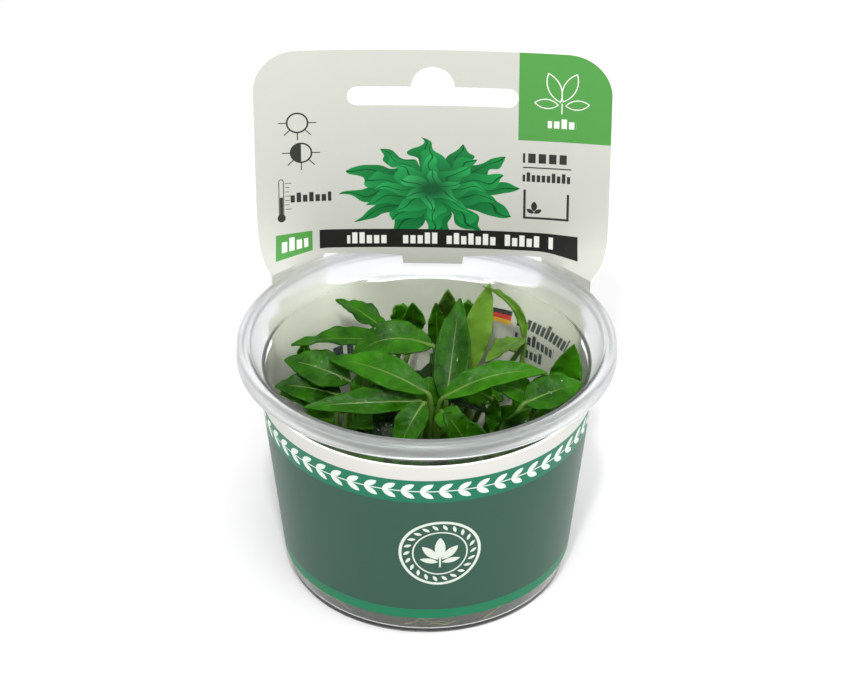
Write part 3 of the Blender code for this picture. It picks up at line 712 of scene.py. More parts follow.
def coated_board(name, tree_colour):
    """A coated-board material whose colour is drawn by tree_colour(tree)."""
    mat, tree, shader = new_material(name, roughness=0.38, ior=1.5, specular_ior_level=0.2)
    tree.links.new(tree_colour(tree), shader.inputs["Base Color"])
    spot = add(tree, "ShaderNodeTexCoord", out=3)
    fibre = add(tree, "ShaderNodeTexNoise", named={"Vector": spot, "Scale": 900.0, "Detail": 3.0})
    relief = add(tree, "ShaderNodeBump", named={"Height": fibre, "Distance": 0.02 * MM, "Strength": 0.3})
    tree.links.new(relief, shader.inputs["Normal"])
    return mat


def board_stock(tree, first="#CCCDC5", second="#C7C8BF"):
    """Unprinted board: warm grey-white with a broad, faint mottle."""
    spot = add(tree, "ShaderNodeTexCoord", out=3)
    cloud = add(tree, "ShaderNodeTexNoise", named={"Vector": spot, "Scale": 70.0, "Detail": 4.0})
    return add(
        tree, "ShaderNodeMix", out=MIXED, data_type="RGBA",
        named={SHARE: cloud, FIRST: paint(first), SECOND: paint(second)},
    )


print("board colours", paint("#CCCDC5")[:3], "in linear light")

# %% [markdown]
# Down the outside of the sleeve run a white band, a green band, a dark panel and a narrow bright
# stripe. A border of small white leaves goes round the green band. The round badge on the front is
# a generic one: two rings, a wreath of leaves between them, and a sprig.

# %% Sleeve print
WHITE_BAND_FOOT = 36.95
GREEN_BAND_FOOT = 31.95
STRIPE_TOP = 6.5
BORDER_MIDDLE = 34.5
BORDER_PITCH = 3.2
BORDER_LEAF = (2.7, 1.15)
BORDER_TURN = math.radians(32.0)
BADGE = (2.4, 20.0)
BADGE_RINGS = (7.2, 4.9)
BADGE_LINES = (0.55, 0.28)
WREATH_RADIUS = 6.05
WREATH_LEAVES = 22


def leaf_border(tree, place):
    """Two rows of small leaves that lean away from a thin stem, as round a wreath."""
    parts = tree.nodes.new("ShaderNodeSeparateXYZ")
    tree.links.new(place, parts.inputs[0])
    half = BORDER_PITCH / 2.0
    along = add(tree, "ShaderNodeMath", parts.outputs[0], half, -half, operation="WRAP")
    up = add(tree, "ShaderNodeMath", parts.outputs[1], BORDER_MIDDLE, operation="SUBTRACT")
    folded = add(tree, "ShaderNodeMath", up, operation="ABSOLUTE")
    cell = add(tree, "ShaderNodeCombineXYZ", along, folded)
    leaf = inked(tree, off_leaf(tree, cell, (0.0, 0.85), *BORDER_LEAF, BORDER_TURN))
    stem = inked(tree, folded, reach=0.11)
    return either(tree, leaf, stem)


def badge(tree, place):
    """White ink of the badge."""
    reach = off_bar(tree, place, BADGE)
    rings = [inked(tree, reach, line, radius) for radius, line in zip(BADGE_RINGS, BADGE_LINES)]
    spoke = spokes(tree, place, BADGE, WREATH_LEAVES)
    wreath = inked(tree, off_leaf(tree, spoke, (WREATH_RADIUS, 0.0), 1.5, 0.62, math.radians(38.0)))
    x, y = BADGE
    sprig = [
        inked(tree, off_leaf(tree, place, (x, y + 1.2), 5.0, 1.9, math.radians(90.0))),
        inked(tree, off_leaf(tree, place, (x - 1.75, y + 0.1), 4.2, 1.6, math.radians(134.0))),
        inked(tree, off_leaf(tree, place, (x + 1.75, y + 0.1), 4.2, 1.6, math.radians(46.0))),
        inked(tree, off_leaf(tree, place, (x - 2.0, y - 1.7), 3.4, 1.1, math.radians(168.0))),
        inked(tree, off_leaf(tree, place, (x + 2.0, y - 1.7), 3.4, 1.1, math.radians(12.0))),
        block(tree, place, x - 0.16, x + 0.16, y - 3.3, y - 0.9),
    ]
    return either(tree, *rings, wreath, *sprig)


def sleeve_colour(tree):
    place = card_place(tree, front=True)
    parts = tree.nodes.new("ShaderNodeSeparateXYZ")
    tree.links.new(place, parts.inputs[0])
    up = parts.outputs[1]
    spot = add(tree, "ShaderNodeTexCoord", out=3)
    cloud = add(tree, "ShaderNodeTexNoise", named={"Vector": spot, "Scale": 45.0, "Detail": 3.0})
    colour = add(
        tree, "ShaderNodeMix", out=MIXED, data_type="RGBA",
        named={SHARE: cloud, FIRST: paint("#2C5142"), SECOND: paint("#315647")},
    )
    stripe = add(tree, "ShaderNodeMath", up, STRIPE_TOP, operation="LESS_THAN")
    colour = add(
        tree, "ShaderNodeMix", out=MIXED, data_type="RGBA",
        named={SHARE: stripe, FIRST: colour, SECOND: paint("#107750")},
    )
    band = add(tree, "ShaderNodeMath", up, GREEN_BAND_FOOT, operation="GREATER_THAN")
    colour = add(
        tree, "ShaderNodeMix", out=MIXED, data_type="RGBA",
        named={SHARE: band, FIRST: colour, SECOND: paint("#167154")},
    )
    colour = add(
        tree, "ShaderNodeMix", out=MIXED, data_type="RGBA",
        named={SHARE: leaf_border(tree, place), FIRST: colour, SECOND: paint("#DDE6DE")},
    )
    colour = add(
        tree, "ShaderNodeMix", out=MIXED, data_type="RGBA",
        named={SHARE: badge(tree, place), FIRST: colour, SECOND: paint("#D6DDD2")},
    )
    white = add(tree, "ShaderNodeMath", up, WHITE_BAND_FOOT, operation="GREATER_THAN")
    return add(
        tree, "ShaderNodeMix", out=MIXED, data_type="RGBA",
        named={SHARE: white, FIRST: colour, SECOND: board_stock(tree, "#D2D1CB", "#CCCBC5")},
    )


print("the badge has a wreath of", WREATH_LEAVES, "leaves")

# %% [markdown]
# The face of the header carries the shop's signs: two suns for the light it needs, a thermometer, a
# tank, a green corner with a line-drawn sprig, a dark banner with a green tile beside it, and a
# picture of a leafy rosette. The signs are common ones. The picture is a plain fan of leaves laid
# out in rings, and every line of wording is a row of blocks.

# %% Header print
DARK_INK = "#22231F"
SIGN_INK = "#33352F"
TILE_GREEN = "#539A49"
BANNER_SPAN = (-19.9, 27.9)
BANNER_HEIGHTS = (48.4, 52.2)
SMALL_TILE_SPAN = (-27.9, -21.2)
CORNER_TILE = (16.7, 70.9)
SUNS = [(-23.6, 74.0), (-23.0, 68.0)]
SUN_RADIUS = 1.9
THERMOMETER = (-26.8, 62.3, 55.2)
TANK = (17.8, 26.2, 55.0, 61.0)
PICTURE_CENTRE = (0.9, 60.5)
LEAF_RINGS = [
    {"count": 12, "start": 0.10, "reach": 10.4, "length": 12.5, "width": 4.6,
     "dark": "#0B4A24", "light": "#1C8A44"},
    {"count": 10, "start": 0.33, "reach": 7.9, "length": 11.5, "width": 4.6,
     "dark": "#0D5529", "light": "#239B4F"},
    {"count": 8, "start": 0.02, "reach": 5.4, "length": 9.0, "width": 4.0,
     "dark": "#0F5A2D", "light": "#2AA656"},
    {"count": 6, "start": 0.45, "reach": 3.0, "length": 6.0, "width": 2.8,
     "dark": "#145830", "light": "#35AE5E"},
]


def sun(tree, place, centre):
    """A ring with rays on its sides and below it."""
    reach = off_bar(tree, place, centre)
    ring = inked(tree, reach, 0.32, SUN_RADIUS)
    spoke = spokes(tree, place, centre, 8)
    ray = inked(tree, off_bar(tree, spoke, (SUN_RADIUS + 0.85, 0.0), (0.65, 0.0)), reach=0.1)
    lower = block(tree, place, centre[0] - 5.0, centre[0] + 5.0, centre[1] - 5.0, centre[1] + 0.5)
    return either(tree, ring, both(tree, ray, lower))


def signs(tree, place):
    """The dark line-drawn signs at the two sides of the header."""
    x, y = SUNS[1]
    shaded = inked(tree, off_bar(tree, place, (x, y)), reach=SUN_RADIUS)
    left_half = block(tree, place, x - 3.0, x, y - 3.0, y + 3.0)
    tube, top, low = THERMOMETER
    middle = (top + low) / 2.0
    left, right, bottom, high = TANK
    wall = 0.45
    marks = [
        *(sun(tree, place, centre) for centre in SUNS),
        both(tree, shaded, left_half),
        inked(tree, off_bar(tree, place, (tube, middle), (0.0, (top - low) / 2.0)), 0.16, 0.42),
        inked(tree, off_bar(tree, place, (tube, low)), reach=0.75),
        block(tree, place, tube - 0.3, tube + 0.3, low, low + 4.0),
        word_blocks(tree, place, -25.1, -17.6, 58.1, 1.9, 1.15, 3.0),
        word_blocks(tree, place, 17.6, 25.6, 66.4, 2.6, 1.9, 11.37),
        block(tree, place, 17.6, 26.5, 65.35, 65.6),
        word_blocks(tree, place, 17.6, 26.3, 62.6, 1.9, 0.92, 5.21),
        block(tree, place, left, left + wall, bottom, high),
        block(tree, place, right - wall, right, bottom, high - 0.6),
        block(tree, place, left, right, bottom, bottom + wall),
        inked(tree, off_leaf(tree, place, (left + 2.0, bottom + 2.6), 2.0, 1.1, math.radians(90.0))),
        inked(tree, off_leaf(tree, place, (left + 1.3, bottom + 1.6), 1.6, 0.8, math.radians(150.0))),
        inked(tree, off_leaf(tree, place, (left + 2.7, bottom + 1.6), 1.6, 0.8, math.radians(30.0))),
    ]
    for step in range(7):
        height = low + 1.6 + 0.85 * step
        marks.append(block(tree, place, tube + 0.7, tube + (1.5 if step % 3 else 1.9), height, height + 0.13))
    return either(tree, *marks)


def leafy_picture(tree, place, colour):
    """A rosette of leaves seen a little from above, in rings from the outer ones to the heart."""
    moved = add(tree, "ShaderNodeVectorMath", place, (*PICTURE_CENTRE, 0.0), operation="SUBTRACT")
    flat = add(tree, "ShaderNodeVectorMath", moved, (1.0, 1.55, 0.0), operation="MULTIPLY")
    wander = add(tree, "ShaderNodeTexNoise", out=1, named={"Vector": flat, "Scale": 0.22, "Detail": 0.0})
    wander = add(tree, "ShaderNodeVectorMath", wander, (0.5, 0.5, 0.5), operation="SUBTRACT")
    wander = add(tree, "ShaderNodeVectorMath", wander, (5.0, 5.0, 0.0), operation="MULTIPLY")
    bent = add(tree, "ShaderNodeVectorMath", flat, wander, operation="ADD")
    reach = add(tree, "ShaderNodeVectorMath", flat, out=1, operation="LENGTH")
    for ring in LEAF_RINGS:
        spoke = spokes(tree, bent, (0.0, 0.0), ring["count"], ring["start"])
        leaf = off_leaf(tree, spoke, (ring["reach"], 0.0), ring["length"], ring["width"])
        outer = ring["reach"] + ring["length"] / 2.0
        share = add(tree, "ShaderNodeMapRange", reach, 0.25 * outer, outer)
        ink = add(
            tree, "ShaderNodeMix", out=MIXED, data_type="RGBA",
            named={SHARE: share, FIRST: paint(ring["dark"]), SECOND: paint(ring["light"])},
        )
        half = ring["length"] / 2.0
        rib = inked(tree, off_bar(tree, spoke, (ring["reach"], 0.0), (half, 0.0)), reach=0.16)
        ink = add(
            tree, "ShaderNodeMix", out=MIXED, data_type="RGBA",
            named={SHARE: rib, FIRST: ink, SECOND: paint(ring["dark"])},
        )
        colour = add(
            tree, "ShaderNodeMix", out=MIXED, data_type="RGBA",
            named={SHARE: inked(tree, leaf), FIRST: colour, SECOND: ink},
        )
    return colour


def corner_sprig(tree, place):
    """White line drawing of a sprig in the green corner, with a row of blocks under it."""
    x, y = 24.3, 78.0
    leaves = [
        (-1.2, 3.6, 6.0, 2.3, 112.0),
        (1.6, 3.7, 6.0, 2.3, 66.0),
        (-2.6, 0.4, 4.2, 1.8, 176.0),
        (3.0, 0.4, 4.2, 1.8, 6.0),
    ]
    lines = [
        inked(tree, off_leaf(tree, place, (x + dx, y + dy), length, width, math.radians(turn)), 0.2)
        for dx, dy, length, width, turn in leaves
    ]
    lines.append(block(tree, place, x + 0.1, x + 0.3, y - 1.5, y + 0.6))
    lines.append(word_blocks(tree, place, 22.0, 27.2, 73.6, 1.9, 1.35, 7.0))
    return either(tree, *lines)


def header_colour(tree):
    spot = add(tree, "ShaderNodeTexCoord", out=3)
    scaled = add(tree, "ShaderNodeVectorMath", spot, (1.0 / MM,) * 3, operation="MULTIPLY")
    parts = tree.nodes.new("ShaderNodeSeparateXYZ")
    tree.links.new(scaled, parts.inputs[0])
    flat = add(tree, "ShaderNodeCombineXYZ", parts.outputs[0], parts.outputs[2])
    colour = board_stock(tree)
    colour = leafy_picture(tree, flat, colour)
    low, high = BANNER_HEIGHTS
    banner = block(tree, flat, *BANNER_SPAN, low, high)
    under_banner = add(tree, "ShaderNodeMath", parts.outputs[2], high, operation="LESS_THAN")
    colour = add(
        tree, "ShaderNodeMix", out=MIXED, data_type="RGBA",
        named={SHARE: under_banner, FIRST: colour, SECOND: board_stock(tree)},
    )
    colour = add(
        tree, "ShaderNodeMix", out=MIXED, data_type="RGBA",
        named={SHARE: signs(tree, flat), FIRST: colour, SECOND: paint(SIGN_INK)},
    )
    tile = block(tree, flat, CORNER_TILE[0], 40.0, CORNER_TILE[1], 100.0)
    small_tile = block(tree, flat, *SMALL_TILE_SPAN, low, high)
    colour = add(
        tree, "ShaderNodeMix", out=MIXED, data_type="RGBA",
        named={SHARE: either(tree, tile, small_tile), FIRST: colour, SECOND: paint(TILE_GREEN)},
    )
    colour = add(
        tree, "ShaderNodeMix", out=MIXED, data_type="RGBA",
        named={SHARE: banner, FIRST: colour, SECOND: paint(DARK_INK)},
    )
    white = either(
        tree,
        corner_sprig(tree, flat),
        word_blocks(tree, flat, -14.8, 23.4, low + 0.8, 2.3, 1.35, 2.4, gaps=0.12),
        word_blocks(tree, flat, -27.0, -22.0, low + 0.9, 2.2, 1.35, 8.0),
    )
    return add(
        tree, "ShaderNodeMix", out=MIXED, data_type="RGBA",
        named={SHARE: white, FIRST: colour, SECOND: paint("#F0F1EA")},
    )


print("the picture has", sum(ring["count"] for ring in LEAF_RINGS), "leaves")

# %% [markdown]
# The inside of the sleeve shows through the clear cup behind the leaves. It is the bare side of the
# board, with a few lines of small wording, a patch of three colours and some bold marks. Its board is
# painted greyer and a little green: painted shade and green light from the leaves inside the cup.
# Here too blocks stand for the wording.

# %% Inner print
INNER_LINES = [34.3, 31.5, 28.7]
PATCH_ARC = (12.5, 16.3)
PATCH_HEIGHTS = (33.9, 36.4)


def inner_print_and_shade(tree):
    place = card_place(tree, front=False)
    # Painted shade: this board is darker and greener than the same board on the header, for the shade and the
    # green light of the leaves inside the cup.
    colour = board_stock(tree, "#ADB09D", "#A4A794")
    lines = [
        word_blocks(tree, place, 19.7, 30.5 - 3.0 * i, base, 2.2, 1.15, 4.0 + 9.3 * i, gaps=0.1)
        for i, base in enumerate(INNER_LINES)
    ]
    lines += [block(tree, place, 17.6, 18.2, base, base + 1.5) for base in INNER_LINES]
    lines.append(word_blocks(tree, place, -23.5, -14.6, 25.6, 6.0, 3.1, 5.3))
    colour = add(
        tree, "ShaderNodeMix", out=MIXED, data_type="RGBA",
        named={SHARE: either(tree, *lines), FIRST: colour, SECOND: paint("#1E2A26")},
    )
    low, high = PATCH_HEIGHTS
    third = (high - low) / 3.0
    for step, ink in enumerate(["#D9A520", "#B3261C", "#20201C"]):
        stripe = block(tree, place, *PATCH_ARC, low + step * third, low + (step + 1) * third)
        colour = add(
            tree, "ShaderNodeMix", out=MIXED, data_type="RGBA",
            named={SHARE: stripe, FIRST: colour, SECOND: paint(ink)},
        )
    return colour


print("inner print has", len(INNER_LINES), "small lines")

# %% [markdown]
# Now the sheet gets its thickness and its punched holes. Solidify gives the two faces and the edge
# their own finishes, and the faces above the fold take the header's print. The punches are deleted.

# %% Make the card
SLEEVE_OUT, SLEEVE_IN, CUT_EDGE, HEADER_BACK, HEADER_FACE = range(5)
sleeve_print = coated_board("sleeve print on coated board", sleeve_colour)
sleeve_inside_with_shade = coated_board("inside of coated board", inner_print_and_shade)
cut_edge = coated_board("cut edge of white board", lambda tree: board_stock(tree, "#F6F6F1", "#ECECE5"))
header_back = coated_board(
    "back print on coated board", lambda tree: board_stock(tree, "#2C5142", "#315647")
)
header_face = coated_board("header print on coated board", header_colour)

finishes = [sleeve_print, sleeve_inside_with_shade, cut_edge, header_back, header_face]
card = new_piece("card_printed", card_sheet(), *finishes)
thick = card.modifiers.new("card thickness", "SOLIDIFY")
thick.thickness = CARD_THICKNESS
thick.offset = 0.0
thick.material_offset = SLEEVE_IN
thick.material_offset_rim = CUT_EDGE
outlines = {
    "rim_slot": rim_slot_outline(),
    "hang_slot": hang_slot_outline(),
    "corner_left": corner_outline(-1),
    "corner_right": corner_outline(1),
}
tools = [punch(card, name, outline, CUT_EDGE) for name, outline in outlines.items()]
applied(card)
for tool in tools:
    bpy.data.objects.remove(tool)
HEADER_FOLD = 41.0 * MM
for face in card.data.polygons:
    if face.material_index != CUT_EDGE and face.center.z > HEADER_FOLD:
        inside = face.material_index == SLEEVE_IN
        face.material_index = HEADER_FACE if inside else HEADER_BACK
finished(card, "printed_card", "card_sleeve")

# %% [markdown]
# The gel is a clear nutrient jelly that has gone olive brown with age and algae. It fills the bottom
# of the cup, climbs a little at the wall and is lumpy on top. Light passes a little way into it, so
# it is a see-through solid with a tint. It touches the wall, as poured gel does: it reaches a hair
# into it, so that no bright film of air shows between the two.

# %% Gel
GEL_TOP = 10.0 * MM
GEL_GAP = -0.02 * MM


def gel_shape():
    low = CUP_FLOOR + GEL_GAP
    top_radius = cup_inner(GEL_TOP) - GEL_GAP
    foot = CUP_FOOT_ROUND
    corner = (cup_inner(low) - GEL_GAP - foot, low + foot)
    profile = [(0.0, low)]
    profile += arc(corner, foot, -90.0, 0.0, 6)
    profile += [
        (top_radius, GEL_TOP + 0.5 * MM),
        (top_radius - 0.2 * MM, GEL_TOP + 0.6 * MM),
        (top_radius - 0.9 * MM, GEL_TOP + 0.1 * MM),
    ]
    profile += [(top_radius * share, GEL_TOP) for share in (0.9, 0.75, 0.6, 0.45, 0.3, 0.15)]
    profile.append((0.0, GEL_TOP))
    bm = turned(profile, 96)
    for corner in bm.verts:
        if corner.co.z > GEL_TOP - 0.01 * MM and corner.co.xy.length < top_radius - 1.0 * MM:
            wave = math.sin(corner.co.x / (3.1 * MM)) * math.cos(corner.co.y / (2.6 * MM))
            corner.co.z += 0.35 * MM * wave
    return bm


growing_gel, tree, shader = new_material(
    "agar growing gel", roughness=0.25, ior=1.34, specular_ior_level=0.2, transmission_weight=0.15
)
place = add(tree, "ShaderNodeTexCoord", out=3)
cloud = add(tree, "ShaderNodeTexNoise", named={"Vector": place, "Scale": 160.0, "Detail": 5.0})
colour = add(
    tree, "ShaderNodeMix", out=MIXED, data_type="RGBA",
    named={SHARE: cloud, FIRST: paint("#3E3A20"), SECOND: paint("#4E542C")},
)
tree.links.new(colour, shader.inputs["Base Color"])
relief = add(tree, "ShaderNodeBump", named={"Height": cloud, "Distance": 0.15 * MM, "Strength": 0.5})
tree.links.new(relief, shader.inputs["Normal"])
gel = new_piece("gel_jelly", gel_shape(), growing_gel)
gel.data.shade_smooth()
finished(gel, "growing_gel", "gel_medium")

# %% [markdown]
# The leaves are what the pack is bought for. Each plantlet is a rosette: a leaf has a pale round
# stalk that runs on as a midrib under the blade, and a lance-shaped blade that is folded up a
# little from the midrib, wavy at the edge, and quilted between its side veins. The rule is that of
# the solids, so each fine leaf lies in the solid it stands for, but the blade is a fine grid that is
# bent into place and the stalk a ring extruded along its path.

# %% Leaf shape
CROWNS = {
    "centre": (0.0, -1.0),
    "left": (-14.5, -1.5),
    "back_left": (-9.0, 12.5),
    "back_right": (5.0, 14.0),
    "right": (15.5, 4.0),
    "front_right": (9.5, -12.5),
    "front_left": (-6.5, -14.5),
}
SHOOT_RING = 3.0 * MM
SHOOT_PLACES = 7
SHOOT_BASE = 10.7 * MM
PETIOLE_RADIUS = 0.55 * MM
NECK_BEND = 0.08
BLADE_THICKNESS = 0.34 * MM
TIP_HALF_WIDTH = 0.1 * MM
VEIN_COUNT = 8.0
QUILTING = 0.05 * MM

UP = (0.0, 0.0, 1.0)
TO_FRONT = (0.0, -1.0, 0.35)
TILTED = (0.0, -0.5, 0.87)


def direction(curve, t):
    step = 0.01
    return (curve(min(t + step, 1.0)) - curve(max(t - step, 0.0))).normalized()


def tube(bm, route, sides, across):
    """A closed tube along a route of (point, radius): a ring of edges extruded from step to step."""
    ring = bmesh.ops.create_circle(bm, cap_ends=True, segments=sides, radius=1.0)["verts"]
    circle = [corner.co.copy() for corner in ring]
    edges = list(ring[0].link_faces[0].edges)
    made = list(ring)
    for step, (centre, radius) in enumerate(route):
        ahead = route[min(step + 1, len(route) - 1)][0]
        along = (ahead - route[max(step - 1, 0)][0]).normalized()
        across = (across - along * across.dot(along)).normalized()
        up = across.cross(along)
        if step:
            grown = bmesh.ops.extrude_edge_only(bm, edges=edges)["geom"]
            edges = [item for item in grown if isinstance(item, bmesh.types.BMEdge)]
            ring = [next(e.other_vert(c) for e in c.link_edges if e.other_vert(c) in grown) for c in ring]
            made += ring
        for corner, spot in zip(ring, circle):
            corner.co = centre + (across * spot.x + up * spot.y) * radius
    bm.faces.new(ring)
    return made


class Leaf:
    """One leaf, placed in millimetres. See the cell on leaves for what its measures mean."""

    def __init__(self, name, crown, neck, tip, width, bow, face=UP, fold=22.0, wave=0.3, tone=0.5):
        self.name = name
        self.crown = crown
        self.neck = Vector(neck) * MM
        self.tip = Vector(tip) * MM
        self.width = width * MM
        self.face = Vector(face).normalized()
        self.fold = math.radians(fold)
        self.wave = wave * MM
        self.tone = tone
        self.phase = random.Random(name).uniform(0.0, 6.0)
        self.middle = (self.neck + self.tip) / 2.0 + Vector(bow) * 2.0 * MM
        self.base = Vector()

    def foot_at(self, place):
        x, y = CROWNS[self.crown]
        angle = 2.0 * math.pi * place / SHOOT_PLACES
        reach = Vector((math.cos(angle), math.sin(angle), 0.0)) * SHOOT_RING
        level = SHOOT_BASE + 0.35 * MM * (place % 3)
        return Vector((x * MM, y * MM, level)) + reach

    def petiole_point(self, t):
        start = (self.middle - self.neck).normalized()
        span = (self.neck - self.base).length
        first = self.base + Vector((0.0, 0.0, 0.45 * span))
        second = self.neck - start * NECK_BEND * span
        s = 1.0 - t
        return self.base * s**3 + first * 3 * s * s * t + second * 3 * s * t * t + self.neck * t**3

    def blade_point(self, t):
        s = 1.0 - t
        return self.neck * s * s + self.middle * 2 * s * t + self.tip * t * t

    def blade_frame(self, t):
        along = direction(self.blade_point, t)
        across = along.cross(self.face).normalized()
        return across, across.cross(along)

    def half_width(self, t):
        shape = math.sin(math.pi * min(max(t, 0.0), 1.0) ** 0.75) ** 0.85
        return max(self.width / 2.0 * shape, TIP_HALF_WIDTH)

    def surface(self, s, t):
        """A point of the blade, s from -1 to 1 across it and t from 0 to 1 along it."""
        centre = self.blade_point(t)
        across, up = self.blade_frame(t)
        half = self.half_width(t)
        side = 0 if s < 0 else 1
        out = abs(s)
        hinge = ((out - 0.3) + math.sqrt((out - 0.3) ** 2 + 0.03)) / 2.0
        reach = half * (out - hinge * (1.0 - math.cos(self.fold)))
        fade = smooth(4.0 * t) * smooth(4.0 * (1.0 - t))
        lift = half * hinge * math.sin(self.fold)
        lift += self.wave * fade * out**1.5 * math.sin(11.0 * t + (0.4, 2.6)[side])
        lift += 0.8 * self.wave * fade * out**2 * math.sin(21.0 * t + self.phase + (0.0, 2.6)[side])
        lift += 0.4 * self.wave * fade * out**3 * math.sin(43.0 * t + self.phase + (1.1, 4.0)[side])
        vein = math.cos(2.0 * math.pi * (VEIN_COUNT * t - 1.3 * out))
        lift -= QUILTING * fade * vein * smooth(3.0 * out) * smooth(4.0 * (1.0 - out))
        return centre + across * reach * (1 if s > 0 else -1) + up * lift

    def blade(self, bm, across_steps, along_steps):
        """A grid bent into the blade, with its places across and along kept in the UV map."""
        grid = bmesh.ops.create_grid(bm, x_segments=across_steps, y_segments=along_steps, size=1.0)
        faces = list({face for corner in grid["verts"] for face in corner.link_faces})
        uv = bm.loops.layers.uv.verify()
        tone = bm.verts.layers.float["tone"]
        for face in faces:
            for loop in face.loops:
                loop[uv].uv = (loop.vert.co.x / 2.0 + 0.5, loop.vert.co.y / 2.0 + 0.5)
        for corner in grid["verts"]:
            s, t = corner.co.x, corner.co.y / 2.0 + 0.5
            corner.co = self.surface(s, 0.01 + 0.99 * t)
            corner[tone] = self.tone
        bmesh.ops.recalc_face_normals(bm, faces=faces)
        bmesh.ops.solidify(bm, geom=faces, thickness=BLADE_THICKNESS)

    def stalk(self, bm, rings, sides):
        """A tapered stalk from foot to neck that runs on under the blade as its midrib."""
        route = []
        for i in range(rings + 1):
            t = i / rings
            route.append((self.petiole_point(t), PETIOLE_RADIUS * (1.15 - 0.35 * t)))
        for i in range(1, rings - 2):
            t = i / rings
            radius = PETIOLE_RADIUS * (0.8 * (1.0 - t) + 0.12)
            across, up = self.blade_frame(t)
            route.append((self.blade_point(t) - up * radius * 0.8, radius))
        corners = tube(bm, route, sides, self.blade_frame(0.0)[0])
        for corner in corners:
            corner[bm.verts.layers.float["tone"]] = self.tone
            for face in corner.link_faces:
                face.material_index = 1

    def grow(self, bm, across_steps=14, along_steps=34, rings=14, sides=10):
        """Adds the whole leaf to a bmesh, as fine as the steps say."""
        self.blade(bm, across_steps, along_steps)
        self.stalk(bm, rings, sides)
        return bm


def leaf_mesh():
    """An empty bmesh that keeps a tone for each corner."""
    bm = bmesh.new()
    bm.verts.layers.float.new("tone")
    return bm


def leaf_piece(name, bm, blade_paint, stalk_paint):
    bmesh.ops.recalc_face_normals(bm, faces=bm.faces)
    piece = new_piece(name, bm, blade_paint, stalk_paint)
    piece.data.shade_smooth()
    return piece


print("plantlets", ", ".join(CROWNS))

# %% [markdown]
# The places of the leaves are read off the picture, as pixels, because a plant has no drawing
# to follow. A pixel alone is only a line of sight, so each reading also has a height, which was
# judged from how the leaves overlap. This function finds where the line of sight is at that height.

# %% From a pixel to a place
PLACE_DIGITS = 1


def seen(across, down, height):
    """The place, in millimetres, that shows at a pixel of the picture and has the given height."""
    distance = CAMERA_DISTANCE / MM
    rise = height - CAMERA_AIM.z / MM
    slope = (PICTURE_HEIGHT / 2.0 - AIM_ABOVE_MIDDLE - down) / FOCAL_PIXELS
    level, steep = math.cos(CAMERA_RISE), math.sin(CAMERA_RISE)
    y = (slope * (distance - steep * rise) - level * rise) / (steep - slope * level)
    depth = distance + level * y - steep * rise
    x = (across - PICTURE_WIDTH / 2.0 + AIM_LEFT_OF_MIDDLE) / FOCAL_PIXELS * depth
    return round(x, PLACE_DIGITS), round(y, PLACE_DIGITS), height


print("the middle of the picture lies over", seen(PICTURE_WIDTH / 2, PICTURE_HEIGHT / 2, 0.0), "mm")

# %% [markdown]
# These are the leaves that show in the mouth of the cup. A leaf has the plantlet it belongs to, the
# pixel and height where its blade starts and where it ends, its width, how far its middle stands
# off the straight line, which way its face looks, its fold, and its tone from dark to bright
# yellow-green. The readings are the ones that the solids were made from. Lengths are in millimetres.

